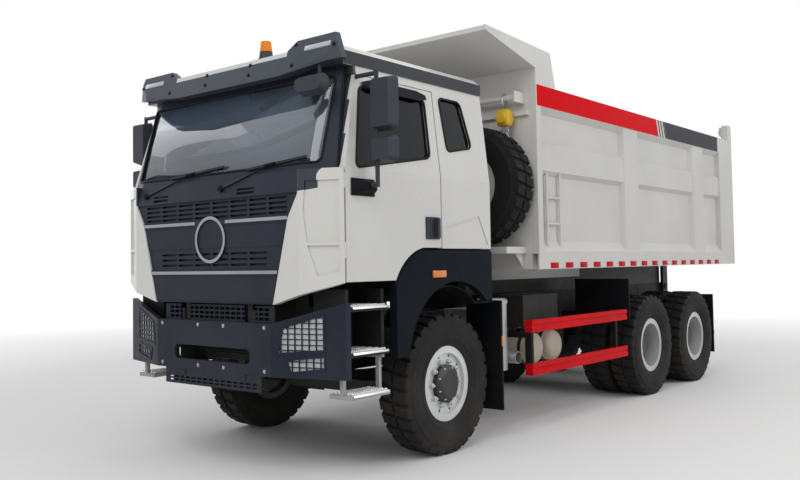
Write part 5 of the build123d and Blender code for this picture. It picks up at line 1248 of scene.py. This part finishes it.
@dataclass
class Headlamps:
    """Chrome bowls and clear lenses behind the bumper's guards, in place of the plain lamp blocks."""

    knee: Point = (0.668, -4.127, 0.0)
    end: Point = (1.245, -3.970, 0.0)
    outlines: tuple[tuple[Pair, ...], ...] = (
        ((0.063, 0.903), (0.100, 1.075), (0.421, 1.164), (0.425, 0.933)),
        ((0.161, 0.773), (0.134, 0.849), (0.425, 0.879), (0.427, 0.803)),
    )
    bowls: tuple[Point, ...] = (
        (0.172, 0.992, 0.070), (0.332, 1.040, 0.080), (0.235, 0.822, 0.032), (0.350, 0.832, 0.032),
    )
    back_depth: float = 0.029
    back_sheet: float = 0.002
    bowl_depth: float = 0.014
    lens_depth: float = 0.011
    lens_sheet: float = 0.003

    def stance(self) -> Matrix:
        """Matrix from (along, up, out) on the bumper's angled left face to the truck's frame.

        Returns:
            The matrix.
        """
        along = (Vector(self.end) - Vector(self.knee)).normalized()
        up = Vector(Way.UP.value)
        turn = Matrix((along, up, along.cross(up))).transposed().to_4x4()
        return Matrix.Translation(self.knee) @ turn

    def plates(self, depth: float, thickness: float) -> list[Piece]:
        """Flat plates in the lamps' outlines, in the face's own space.

        Args:
            depth: how far their backs lie behind the face.
            thickness: of the plates.

        Returns:
            The plates.
        """
        made = []
        for outline in self.outlines:
            plate = Bench.loop("lamp_plate", [(along, up, -depth) for along, up in outline])
            Bench.whole(plate, bpy.ops.mesh.edge_face_add, pull(0.0, 0.0, thickness))
            Bench.close(plate)
            made.append(plate)
        return made

    def bowl(self, along: float, up: float, radius: float) -> Piece:
        """Round reflector with a raised rim and a bulb shield, in the face's own space.

        Args:
            along: its middle along the face.
            up: its middle's height.
            radius: of its rim.

        Returns:
            The bowl.
        """
        front = self.bowl_depth - self.back_depth
        piece = Bench.rod("bowl", (along, up, -self.back_depth), (along, up, front), radius, 32)
        rings = [inset(0.12 * radius)]
        for share in (0.30, 0.34, 0.40):
            rings += [inset(share * 0.55 * radius), move(0.0, 0.0, -0.30 * self.bowl_depth)]
        Bench.shape(piece, Way.UP, *rings, pull(0.0, 0.0, 0.7 * self.bowl_depth))
        return piece

    def build(self) -> None:
        """Both lamp sets: lenses, and chrome backs with bowls behind them."""
        backs = self.plates(self.back_depth, self.back_sheet) + [self.bowl(*spot) for spot in self.bowls]
        lenses = self.plates(self.lens_depth, self.lens_sheet)
        for name, parts, finish, slot, node in (
            ("headlamp_lenses", lenses, Finishes.LAMP, "lamp_glass", "lamps"),
            ("headlamp_bowls", backs, Finishes.BOWL, "chrome", ""),
        ):
            left = Bench.join(name, parts)
            left.data.transform(self.stance())
            Bench.finish(Bench.mirrored(name, left), finish, Body.CHASSIS, slot, replaces=node)


@dataclass
class Seats:
    """Sprung seats with crowned cushions, in place of the plain seat blocks."""

    width: float = 0.51
    crown: float = 0.030
    pull_in: float = 0.018
    base_height: float = 0.26
    back_place: Pair = (0.455, 0.235)
    back_lean: float = -10.5

    def cushion(self, name: str, low: Point, high: Point) -> Piece:
        """Crowned pad: a subdivided block pulled in at its sides and raised in its middle.

        Args:
            name: the pad's name.
            low: lowest corner of its block.
            high: highest corner of its block.

        Returns:
            The pad.
        """
        piece = Bench.box(name, low, high)
        Bench.whole(piece, subdivide(5))
        middle = (Vector(low) + Vector(high)) / 2
        half = (Vector(high) - Vector(low)) / 2
        for vertex in piece.data.vertices:
            share = [(vertex.co[axis] - middle[axis]) / half[axis] for axis in range(3)]
            for axis in range(3):
                first, second = (share[other] for other in range(3) if other != axis)
                bulge = (1.0 - first**2) * (1.0 - second**2)
                vertex.co[axis] += share[axis] * (self.crown * bulge - self.pull_in)
        Bench.modify(piece, "SUBSURF", levels=2, render_levels=2)
        return piece

    def build(self) -> None:
        """Two seats, each with a base box, a seat cushion, a back cushion and a headrest."""
        low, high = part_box("seats")
        along, up = self.back_place
        lean = Matrix.Translation((0.0, low.y + along, low.z + up)) @ turned(self.back_lean, "X")
        shells = []
        for side in Side:
            inner = high.x - self.width if side is Side.LEFT else low.x
            outer = inner + self.width
            foot = (inner + 0.05, low.y + 0.06, low.z)
            shells.append(Bench.block("seat_base", foot, (outer - 0.05, low.y + 0.46, low.z + 0.13), 0.02))
            top = (outer, low.y + 0.50, low.z + self.base_height)
            pad = self.cushion(f"seat_cushion_{side.word}", (inner, low.y, low.z + 0.12), top)
            rest = self.cushion(f"seat_back_{side.word}", (inner, -0.06, 0.0), (outer, 0.06, 0.60))
            head_low, head_high = (inner + 0.13, -0.045, 0.60), (outer - 0.13, 0.045, 0.735)
            head = self.cushion(f"headrest_{side.word}", head_low, head_high)
            rest.data.transform(lean)
            head.data.transform(lean)
            for piece in (pad, rest, head):
                Bench.finish(piece, Finishes.SEAT_CLOTH, Body.CAB, "dark_plastic", 60.0)
        base = Bench.join("seat_bases", shells)
        Bench.finish(base, Finishes.CABIN, Body.CAB, "dark_plastic", replaces="seats")


@dataclass
class Lenses:
    """Small lamps and reflectors: visor markers, flare and flap ambers, skirt reds and tail lamps."""

    visor_foot: Point = (0.0, -3.940, 3.055)
    visor_lean: float = 13.9
    skirt_x: float = 1.250
    skirt_z: Pair = (1.453, 1.505)
    skirt_start: float = -1.08
    skirt_end: float = 3.30
    skirt_count: int = 16
    skirt_length: float = 0.15

    def fit(self, name: str, left: Piece, finish: Finish, body: Body, slot: str = "lamp_glass") -> None:
        """Finish a lens and its mirror image as one piece."""
        Bench.finish(Bench.mirrored(name, left), finish, body, slot)

    def visor_markers(self) -> None:
        """Slender white wedge lamps let into the visor's end pods."""
        piece = Bench.block("visor_marker", (0.84, -3.940, 3.055), (1.10, -3.920, 3.094), 0.006)
        Bench.shape(piece, Way.RIGHT, size(1.0, 1.0, 0.30), move(0.0, 0.0, -0.008))
        piece.data.transform(about(self.visor_foot, turned(-self.visor_lean, "X")))
        self.fit("visor_markers", piece, Finishes.WHITE_LENS, Body.CAB)

    def ambers(self) -> None:
        """Amber side lamps on the flares and amber reflectors on the front flaps' edges."""
        flare = Bench.block("flare_lamp", (1.246, -2.99, 1.405), (1.262, -2.82, 1.46), 0.006)
        self.fit("flare_lamps", flare, Finishes.AMBER_LENS, Body.CAB)
        flap = Bench.block("flap_reflector", (1.236, -2.011, 0.80), (1.246, -1.991, 0.89), 0.003)
        self.fit("flap_reflectors", flap, Finishes.AMBER_LENS, Body.CHASSIS)

    def skirt_reds(self) -> None:
        """Row of red reflectors along each skirt of the bed."""
        low, high = self.skirt_z
        half = self.skirt_length / 2
        tile = Bench.block(
            "skirt_red", (self.skirt_x - 0.002, self.skirt_start - half, low),
            (self.skirt_x + 0.004, self.skirt_start + half, high), 0.002,
        )
        step = (self.skirt_end - self.skirt_start) / (self.skirt_count - 1)
        Bench.array(tile, self.skirt_count, (0.0, step, 0.0))
        self.fit("skirt_reflectors", tile, Finishes.RED_LENS, Body.BED, "paint_red")

    def tail_lamps(self) -> None:
        """Red, amber and white lenses on the rear lamp housings."""
        _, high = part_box("rear_underrun")
        for name, finish, x0, x1 in (
            ("tail_red", Finishes.RED_LENS, 0.660, 0.830), ("tail_amber", Finishes.AMBER_LENS, 0.840, 0.945),
            ("tail_white", Finishes.WHITE_LENS, 0.955, 1.045),
        ):
            lens = Bench.block(name, (x0, high.y - 0.002, 0.880), (x1, high.y + 0.010, 0.980), 0.008)
            self.fit(f"{name}_lenses", lens, finish, Body.CHASSIS)

    def build(self) -> None:
        """All lenses."""
        self.visor_markers()
        self.ambers()
        self.skirt_reds()
        self.tail_lamps()


@dataclass
class MirrorGlasses:
    """Mirror faces on the backs of the door mirrors' heads."""

    border: float = 0.018
    heads: tuple[Pair, ...] = ((2.44, 2.82), (2.215, 2.405))
    middle_x: float = 1.420
    half_width: float = 0.10
    face_y: float = -3.705
    half_sheet: float = 0.003

    def build(self) -> None:
        """A glass on each head."""
        reach = self.half_width - self.border
        plates = []
        for low_z, high_z in self.heads:
            low = (self.middle_x - reach, self.face_y - self.half_sheet, low_z + self.border)
            high = (self.middle_x + reach, self.face_y + self.half_sheet, high_z - self.border)
            plates.append(Bench.block("mirror_plate", low, high, 0.002))
        for side, piece in Bench.twins("mirror_glass", Bench.join("mirror_glass", plates)):
            Bench.finish(piece, Finishes.MIRROR_GLASS, f"door_{side.word}", "chrome")


@dataclass
class Gaskets:
    """Rubber seals round the side windows and the windscreen."""

    tube: float = 0.010
    corner: float = 0.045
    belt_z: float = 2.180
    roof_z: float = 2.930
    side_x: float = 1.246
    lean: float = 0.085
    wall_y: float = -4.070
    rake: float = 0.205
    screen_xs: tuple[float, ...] = (-1.065, -0.950, 0.950, 1.065)
    screen_sweep: float = 0.0477
    screen_zs: Pair = (2.230, 2.860)
    door_window: tuple[Pair, ...] = ((-3.845, 2.190), (-2.970, 2.330), (-2.970, 2.785), (-3.730, 2.785))
    quarter_window: tuple[Pair, ...] = ((-2.730, 2.400), (-2.380, 2.460), (-2.485, 2.830), (-2.775, 2.830))

    def seal(self, name: str, corners: list[Point], body: Body | str) -> None:
        """Round seal along a window's outline with rounded corners.

        Args:
            name: the piece's name.
            corners: the outline's corners.
            body: body that it rides on.
        """
        piece = Bench.loop(name, corners)
        Bench.whole(piece, lambda: bpy.ops.mesh.bevel(offset=self.corner, segments=6, affect="VERTICES"))
        Bench.take(piece)
        bpy.ops.object.convert(target="CURVE")
        curve = bpy.context.active_object.data
        curve.bevel_depth = self.tube
        curve.bevel_resolution = 2
        bpy.ops.object.convert(target="MESH")
        made = bpy.context.active_object
        made.name = name
        Bench.finish(made, Finishes.GASKET, body, "dark_plastic", 60.0)

    def side_corner(self, y: float, z: float, side: Side) -> Point:
        """Point on the leaning side skin."""
        lean = self.lean * max(0.0, z - self.belt_z) / (self.roof_z - self.belt_z)
        return (side.value * (self.side_x - lean), y, z)

    def screen_corner(self, x: float, z: float) -> Point:
        """Point on the raked windscreen frame, swept back at its ends.

        Args:
            x: its place across.
            z: its height.

        Returns:
            The point.
        """
        back = self.rake * (z - self.belt_z) / (self.roof_z - self.belt_z)
        sweep = self.screen_sweep if abs(x) > self.screen_xs[2] else 0.0
        return (x, self.wall_y + back + sweep, z)

    def build(self) -> None:
        """Seals of both doors, both quarter windows and the windscreen."""
        for side in Side:
            for name, outline, body in (
                ("door_seal", self.door_window, f"door_{side.word}"),
                ("quarter_seal", self.quarter_window, Body.CAB),
            ):
                self.seal(f"{name}_{side.word}", [self.side_corner(y, z, side) for y, z in outline], body)
        low, high = self.screen_zs
        around = [(x, low) for x in self.screen_xs] + [(x, high) for x in reversed(self.screen_xs)]
        self.seal("screen_seal", [self.screen_corner(x, z) for x, z in around], Body.CAB)


@dataclass
class Windscreen:
    """Windscreen glass, smooth across the bends of its flat solid."""

    def build(self) -> None:
        """Merged copy of the glass solid with its bends shaded as one curve."""
        pane = bpy.data.objects.new("screen_pane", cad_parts["windscreen"].data.copy())
        bpy.context.scene.collection.objects.link(pane)
        Bench.close(pane)
        Bench.finish(pane, Finishes.SCREEN, Body.CAB, "glass", replaces="windscreen")


@dataclass
class Wipers:
    """Wiper arms, blades and caps over the plain rods below the windscreen."""

    # Each run: pivot, start of the blade, joint and end of the blade, along X
    runs: tuple[tuple[float, ...], ...] = ((0.120, 0.370, 0.620, 0.980), (-0.830, -0.550, -0.300, 0.090))
    pivot_y: float = -4.118
    pivot_z: float = 2.100
    low_z: float = 2.225
    rise: float = 0.045
    wall_y: float = -4.070
    rake: float = 0.2733
    belt_z: float = 2.180
    stand: float = 0.016
    arm_stand: float = 0.028
    blade: Pair = (0.010, 0.028)
    arm: Pair = (0.010, 0.020)
    joint: Pair = (0.020, 0.030)
    joint_half: float = 0.05
    cap: float = 0.026

    def spot(self, x: float, share: float, stand: float) -> Vector:
        """Point a share along a blade, stand metres in front of the glass."""
        z = self.low_z + self.rise * share
        return Vector((x, self.wall_y + self.rake * (z - self.belt_z) - stand, z))

    def bar(self, start: Vector, end: Vector, section: Pair) -> Piece:
        """Flat bar between two points, narrower along its front edge.

        Args:
            start: middle of one end.
            end: middle of the other end.
            section: its depth and height.

        Returns:
            The bar.
        """
        run = end - start
        half = Vector((run.length, *section)) / 2
        piece = Bench.box("wiper_bar", -half, half)
        Bench.shape(piece, Way.FRONT, size(0.97, 1.0, 0.5))
        Bench.soften(piece, 0.002, 2)
        turn = run.to_track_quat("X", "Z").to_matrix().to_4x4()
        piece.data.transform(Matrix.Translation((start + end) / 2) @ turn)
        return piece

    def build(self) -> None:
        """Both wipers as one piece."""
        parts = []
        for pivot_x, start_x, joint_x, end_x in self.runs:
            pivot = Vector((pivot_x, self.pivot_y, self.pivot_z))
            joint = self.spot(joint_x, (joint_x - start_x) / (end_x - start_x), self.arm_stand)
            first, last = self.spot(start_x, 0.0, self.stand), self.spot(end_x, 1.0, self.stand)
            reach = self.joint_half * (last - first).normalized()
            parts.append(self.bar(first, last, self.blade))
            parts.append(self.bar(pivot, joint, self.arm))
            parts.append(self.bar(joint - reach, joint + reach, self.joint))
            back, front = pivot + Vector((0.0, 0.008, 0.0)), pivot - Vector((0.0, 0.011, 0.0))
            cap = Bench.rod("wiper_cap", back, front, self.cap, 20)
            Bench.soften(cap, 0.005, 3)
            parts.append(cap)
        Bench.finish(Bench.join("wiper_set", parts), Finishes.FLAP, Body.CAB, "dark_plastic")


@dataclass
class DoorTrim:
    """Moulded covers where the mirror arms leave the doors, and rain shields over the door windows."""

    skin_x: float = 1.2455
    cover_low: Pair = (-3.905, 1.992)
    cover_high: Pair = (-3.660, 2.114)
    cover_plate: float = 0.014
    cover_boss: float = 0.050
    shield_top: Point = (1.1720, -3.33, 2.846)
    shield_half: float = 0.375
    shield_height: float = 0.086
    shield_sheet: float = 0.004
    shield_flare: float = 20.0

    def cover(self) -> Piece:
        """Base plate on the door's skin with a raised boss round the arm.

        Returns:
            The left cover.
        """
        outer = (self.skin_x + self.cover_plate, *self.cover_high)
        piece = Bench.box("arm_cover", (self.skin_x, *self.cover_low), outer)
        Bench.shape(piece, Way.LEFT, inset(0.014), pull(self.cover_boss, 0.030, 0.006), size(1.0, 0.55, 0.62))
        Bench.soften(piece, 0.010, 3)
        return piece

    def shield(self) -> Piece:
        """Thin strip that flares away from the glass and narrows to its ends.

        Returns:
            The left shield.
        """
        x, y, z = self.shield_top
        low = (x, y - self.shield_half, z - self.shield_height)
        piece = Bench.box("rain_shield", low, (x + self.shield_sheet, y + self.shield_half, z))
        Bench.whole(piece, subdivide(6))
        Bench.shape(piece, Way.REAR, size(1.0, 1.0, 0.45))
        Bench.shape(piece, Way.FRONT, size(1.0, 1.0, 0.25))
        Bench.soften(piece, 0.0012, 1)
        piece.data.transform(about(self.shield_top, turned(-self.shield_flare, "Y")))
        return piece

    def build(self) -> None:
        """A cover and a shield on each door."""
        for stem, left in (("arm_cover", self.cover()), ("rain_shield", self.shield())):
            for side, piece in Bench.twins(stem, left):
                Bench.finish(piece, Finishes.FLAP, f"door_{side.word}", "dark_plastic")


@dataclass
class WheelHouse:
    """Dark inner walls of the front wheel houses under the cab, and a dark sheet behind the bumper's apron as
    painted shade.
    """

    wall_x: float = 0.800
    sheet: float = 0.008
    walls: tuple[tuple[Pair, Pair], ...] = (
        ((-3.880, 1.215), (-3.470, 1.384)), ((-3.480, 1.215), (-2.700, 1.384)),
        ((-3.300, 1.370), (-2.700, 1.594)),
    )
    apron_low: Point = (-0.470, -4.106, 0.622)
    apron_high: Point = (0.470, -4.102, 0.700)

    def build(self) -> None:
        """Pressed walls on both sides and one dark apron sheet of painted shade."""
        parts = []
        for low, high in self.walls:
            panel = Bench.box("house_wall", (self.wall_x, *low), (self.wall_x + self.sheet, *high))
            Bench.shape(panel, Way.LEFT, inset(0.030, -0.002, True), both=True)
            Bench.soften(panel, 0.0015, 1)
            parts.append(panel)
        for _, piece in Bench.twins("wheel_house", Bench.join("wheel_house", parts)):
            Bench.finish(piece, Finishes.FLAP, Body.CAB, "dark_plastic")
        # Dark sheet behind the apron's slots: painted shade in place of the floor seen through them.
        screen = Bench.box("apron_shade_sheet", self.apron_low, self.apron_high)
        Bench.shape(screen, Way.FRONT, inset(0.010, -0.001, True), both=True)
        Bench.finish(screen, Finishes.CHASSIS, Body.CHASSIS, "paint_black")


@dataclass
class StepTreads:
    """Toothed aluminium treads on the entry steps."""

    # Each step: inner edge and height
    steps: tuple[Pair, ...] = ((0.925, 1.220), (0.925, 0.905), (1.040, 0.615))
    outer_x: float = 1.240
    front_y: float = -3.895
    rear_y: float = -3.515
    rows: int = 5
    teeth: int = 16
    tooth: float = 0.010

    def tread(self, inner_x: float, z: float) -> Piece:
        """One tread: a folded plate with rows of raised hollow teeth.

        Args:
            inner_x: its inner edge.
            z: its height.

        Returns:
            The tread.
        """
        plate = Bench.box("tread", (inner_x, self.front_y, z - 0.002), (self.outer_x, self.rear_y, z + 0.004))
        Bench.shape(plate, Way.LEFT, pull(0.006, 0.0, -0.012))
        Bench.soften(plate, 0.0015, 1)
        width = (self.outer_x - inner_x) / self.rows
        pitch = (self.rear_y - self.front_y) / self.teeth
        foot = Vector((inner_x + width / 2, self.front_y + pitch / 2, z + 0.003))
        tooth = Bench.rod("tooth", foot, foot + Vector((0.0, 0.0, self.tooth)), 0.35 * pitch, 6)
        Bench.shape(tooth, Way.UP, inset(0.10 * pitch), move(0.0, 0.0, -0.6 * self.tooth))
        Bench.array(tooth, self.teeth, (0.0, pitch, 0.0))
        Bench.array(tooth, self.rows, (width, 0.0, 0.0))
        return Bench.join("tread_set", [plate, tooth])

    def build(self) -> None:
        """Treads on all steps of both sides."""
        treads = Bench.join("step_treads", [self.tread(*step) for step in self.steps])
        for _, piece in Bench.twins("step_treads", treads):
            Bench.finish(piece, Finishes.ALUMINIUM, Body.CHASSIS, "aluminium", 30.0)


@dataclass
class ChainHoist:
    """Hand chain hoist for the spare wheel, hanging from the bar on the bed's front wall."""

    place: Point = (0.985, -1.480, 3.030)
    body_size: Point = (0.13, 0.11, 0.16)
    drop: float = 0.10
    cover_radius: float = 0.055
    cover_height: float = 0.03
    link_radius: float = 0.017
    link_wire: float = 0.0045
    links: int = 15
    fall_shift: float = 0.03
    ring_scale: float = 2.6

    def housing(self) -> Piece:
        """Rounded gear housing with a round cover on each side.

        Returns:
            The housing.
        """
        x, y, z = self.place
        half = Vector(self.body_size) / 2
        middle = Vector((x, y, z - self.drop - half.z))
        parts = [Bench.block("hoist_housing", middle - half, middle + half, 0.03, 3)]
        for sign in (1.0, -1.0):
            start = middle + Vector((0.0, sign * half.y, 0.0))
            end = start + Vector((0.0, sign * self.cover_height, 0.0))
            cover = Bench.rod("hoist_cover", start, end, self.cover_radius, 24)
            Bench.soften(cover, 0.008, 2)
            parts.append(cover)
        return Bench.join("chain_hoist", parts)

    def link(self, spot: Point, turn: float) -> Piece:
        """One chain link standing upright.

        Args:
            spot: its middle.
            turn: angle about Z in radians.

        Returns:
            The link.
        """
        Bench.clear()
        bpy.ops.mesh.primitive_torus_add(
            location=spot, rotation=(math.pi / 2, 0.0, turn), major_segments=12, minor_segments=6,
            major_radius=self.link_radius, minor_radius=self.link_wire,
        )
        return Bench.settle("chain_link", (0.75, 1.25, 1.0))

    def build(self) -> None:
        """Housing, ring over the bar and the hanging falls of the chain."""
        Bench.finish(self.housing(), Finishes.YELLOW, Body.BED, "paint_beige")
        x, y, z = self.place
        top = z - self.drop - self.body_size[2] + 0.01
        parts = []
        for index in range(self.links):
            height = top - index * 1.7 * self.link_radius
            for shift in (-self.fall_shift, self.fall_shift):
                parts.append(self.link((x + shift, y, height), math.pi / 2 * (index % 2)))
        spot = (x, y, z - 0.02)
        ring = self.link(spot, math.pi / 2)
        ring.data.transform(about(spot, Matrix.Scale(self.ring_scale, 4)))
        chain = Bench.join("hoist_chain", [*parts, ring])
        Bench.finish(chain, Finishes.STEEL, Body.BED, "steel")


@dataclass
class Radiator:
    """Finned radiator between the frame rails behind the bumper's mesh."""

    half_width: float = 0.320
    front_y: float = -3.930
    rear_y: float = -3.886
    low_z: float = 0.800
    high_z: float = 1.345
    border: float = 0.045
    recess: float = 0.016
    fins: int = 24

    def build(self) -> None:
        """Housing with a recessed core and rows of fins."""
        low = (-self.half_width, self.front_y, self.low_z)
        housing = Bench.box("radiator", low, (self.half_width, self.rear_y, self.high_z))
        Bench.shape(housing, Way.FRONT, inset(self.border, -self.recess, True), both=True)
        Bench.soften(housing, 0.008, 2)
        reach = self.half_width - self.border
        foot = self.low_z + self.border
        pitch = (self.high_z - self.low_z - 2.0 * self.border) / self.fins
        fin = Bench.box(
            "fin", (-reach, self.front_y + 0.006, foot + 0.25 * pitch),
            (reach, self.front_y + self.recess + 0.001, foot + 0.5 * pitch),
        )
        Bench.shape(fin, Way.FRONT, move(0.0, 0.0, -0.2 * pitch))
        Bench.array(fin, self.fins, (0.0, 0.0, pitch))
        piece = Bench.join("radiator", [housing, fin])
        Bench.finish(piece, Finishes.CHASSIS, Body.CHASSIS, "cast_iron", 30.0)


@dataclass
class Bolts:
    """Flanged bolt heads that show on the bumper and the visor."""

    radius: float = 0.011
    flange_share: float = 1.35
    height: float = 0.007
    bumper_y: float = -4.127
    bumper_spots: tuple[Pair, ...] = ((0.15, 1.075), (0.15, 0.765), (0.60, 1.075), (0.60, 0.765))
    visor_y: float = -3.9595
    visor_z: float = 2.950
    visor_lean: float = 13.9
    visor_spots: tuple[Pair, ...] = (
        (0.26, 2.965), (0.26, 3.045), (0.73, 2.965), (0.74, 3.120), (1.13, 3.060),
    )

    def head(self) -> Piece:
        """Hexagon head on a round flange, pointing along -Y from the origin.

        Returns:
            The bolt.
        """
        face = (0.0, -0.002, 0.0)
        flange = Bench.rod("bolt", (0.0, 0.001, 0.0), face, self.flange_share * self.radius, 16)
        head = Bench.rod("bolt_head", face, (0.0, -self.height, 0.0), self.radius, 6)
        Bench.soften(head, 0.0015, 1)
        return Bench.join("bolt", [flange, head])

    def row(self, name: str, spots: Iterable[Point], lean: float, finish: Finish, body: Body) -> None:
        """Bolts at these places, leant back with their face, mirrored to the other side.

        Args:
            name: the piece's name.
            spots: places on the left side.
            lean: angle of the face from upright in degrees.
            finish: finish of the heads.
            body: body that they ride on.
        """
        master = self.head()
        made = []
        for spot in spots:
            place = Matrix.Translation(spot) @ turned(-lean, "X")
            made.append(Bench.copy(master, "bolt_copy", place))
            made.append(Bench.copy(master, "bolt_copy", MIRROR @ place))
        bpy.data.objects.remove(master)
        Bench.finish(Bench.join(name, made), finish, body, "steel", 30.0)

    def build(self) -> None:
        """Bolt rows."""
        spots = [(x, self.bumper_y, z) for x, z in self.bumper_spots]
        self.row("bumper_bolts", spots, 0.0, Finishes.STEEL, Body.CHASSIS)
        slope = math.tan(math.radians(self.visor_lean))
        spots = [(x, self.visor_y + slope * (z - self.visor_z), z) for x, z in self.visor_spots]
        self.row("visor_bolts", spots, self.visor_lean, Finishes.FLAP, Body.CAB)


@dataclass
class Studio:
    """Pale floor, soft lights and the camera at the photograph's place."""

    floor_size: float = 240.0
    floor_colour: Colour = (0.80, 0.80, 0.80)
    fade_start: float = 7.0
    fade_end: float = 15.0
    camera_place: Point = (5.2105, -8.285, 1.5171)
    yaw: float = 39.818
    pitch: float = 2.349
    roll: float = -0.890
    lens: float = 38.757
    sensor: float = 36.0
    shift: Pair = (0.0172, -0.0144)
    sky_strength: float = 0.5
    # Each lamp: name, place, aim, side of its square in metres and watts
    lamps: tuple[tuple[str, Point, Point, float, float], ...] = (
        ("over_nose", (3.0, -11.0, 9.0), (0.0, -2.0, 1.5), 8.0, 520.0),
        ("left_side", (11.0, 1.0, 8.0), (0.0, 0.5, 1.5), 9.0, 520.0),
        ("right_fill", (-11.0, -3.0, 7.0), (0.0, 0.0, 1.5), 9.0, 220.0),
        ("rear_fill", (1.0, 12.0, 8.0), (0.0, 2.0, 1.5), 8.0, 220.0),
    )

    def seen(self, tree: NodeTree) -> Socket:
        """Tell rays that look at a surface from rays that gather light.

        Args:
            tree: the tree to work in.

        Returns:
            One where it is looked at, mirrored or seen through glass, else zero.
        """
        path = tree.add("ShaderNodeLightPath").outputs
        direct = tree.math("MAXIMUM", path["Is Camera Ray"], path["Is Transmission Ray"])
        return tree.math("MAXIMUM", direct, path["Is Glossy Ray"])

    def floor_material(self) -> bpy.types.Material:
        """Pale matt paint that goes over to plain white away from the truck.

        Returns:
            The material.
        """
        made = bpy.data.materials.new("floor_paint")
        made.use_nodes = True
        tree = NodeTree(made.node_tree)
        shader = made.node_tree.nodes["Principled BSDF"]
        shader.inputs["Base Color"].default_value = (*self.floor_colour, 1.0)
        shader.inputs["Roughness"].default_value = 0.9
        away = tree.add("ShaderNodeVectorMath", operation="LENGTH")
        tree.feed(tree.add("ShaderNodeTexCoord").outputs["Object"], away.inputs[0])
        fade = tree.ramp(away.outputs["Value"], self.fade_start, self.fade_end, 0.0, 1.0)
        mixer = tree.add("ShaderNodeMixShader")
        tree.feed(tree.times(fade, self.seen(tree)), mixer.inputs[0])
        tree.feed(shader.outputs[0], mixer.inputs[1])
        tree.feed(tree.add("ShaderNodeEmission").outputs[0], mixer.inputs[2])
        tree.feed(mixer.outputs[0], made.node_tree.nodes["Material Output"].inputs["Surface"])
        return made

    def floor(self) -> None:
        """Plain pale floor that keeps the shadow."""
        Bench.clear()
        bpy.ops.mesh.primitive_plane_add(size=self.floor_size, location=(0.0, 0.0, 0.0))
        plane = Bench.settle("floor")
        plane.data.materials.append(self.floor_material())

    def sky(self) -> None:
        """Even pale surroundings: white to the camera and in reflections, softer as light."""
        world = bpy.data.worlds.new("studio")
        bpy.context.scene.world = world
        world.use_nodes = True
        tree = NodeTree(world.node_tree)
        shine = world.node_tree.nodes["Background"]
        tree.feed(tree.ramp(self.seen(tree), 0.0, 1.0, self.sky_strength, 1.0), shine.inputs["Strength"])
        shine.inputs["Color"].default_value = (1.0, 1.0, 1.0, 1.0)

    def lights(self) -> None:
        """Overcast daylight: one broad lamp over the nose, one along the left side and two fills."""
        for name, place, aim, side, watts in self.lamps:
            data = bpy.data.lights.new(name, "AREA")
            data.energy = watts
            data.size = side
            lamp = bpy.data.objects.new(name, data)
            lamp.location = place
            lamp.rotation_euler = (Vector(aim) - Vector(place)).to_track_quat("-Z", "Y").to_euler()
            bpy.context.scene.collection.objects.link(lamp)

    def camera(self) -> None:
        """Camera fitted to the photograph."""
        yaw, pitch, roll = (math.radians(angle) for angle in (self.yaw, self.pitch, self.roll))
        ahead = Vector((-math.sin(yaw) * math.cos(pitch), math.cos(yaw) * math.cos(pitch), math.sin(pitch)))
        level = Vector((math.cos(yaw), math.sin(yaw), 0.0))
        above = level.cross(ahead)
        right = math.cos(roll) * level + math.sin(roll) * above
        upward = -math.sin(roll) * level + math.cos(roll) * above
        data = bpy.data.cameras.new("camera")
        data.sensor_width = self.sensor
        data.lens = self.lens
        data.shift_x, data.shift_y = self.shift
        data.clip_end = 300.0
        camera = bpy.data.objects.new("camera", data)
        turn = Matrix((right, upward, -ahead)).transposed().to_4x4()
        camera.matrix_world = Matrix.Translation(self.camera_place) @ turn
        bpy.context.scene.collection.objects.link(camera)
        bpy.context.scene.camera = camera

    def build(self) -> None:
        """Set the whole studio up."""
        self.floor()
        self.sky()
        self.lights()
        self.camera()
        bpy.context.scene.view_settings.view_transform = "Standard"
        LOG.info("studio is up")


def main() -> None:
    """Dress the CAD nodes, add the small pieces and set the studio up."""
    logging.basicConfig(level=logging.INFO, format="%(name)s: %(message)s")
    for assembly in (
        Dresser(), Tyres(), WheelNuts(), Headlamps(), Seats(), Lenses(), MirrorGlasses(), Gaskets(),
        Windscreen(), Wipers(), DoorTrim(), WheelHouse(), StepTreads(), ChainHoist(), Radiator(), Bolts(),
        Studio(),
    ):
        assembly.build()


if __name__ == "__main__":
    main()
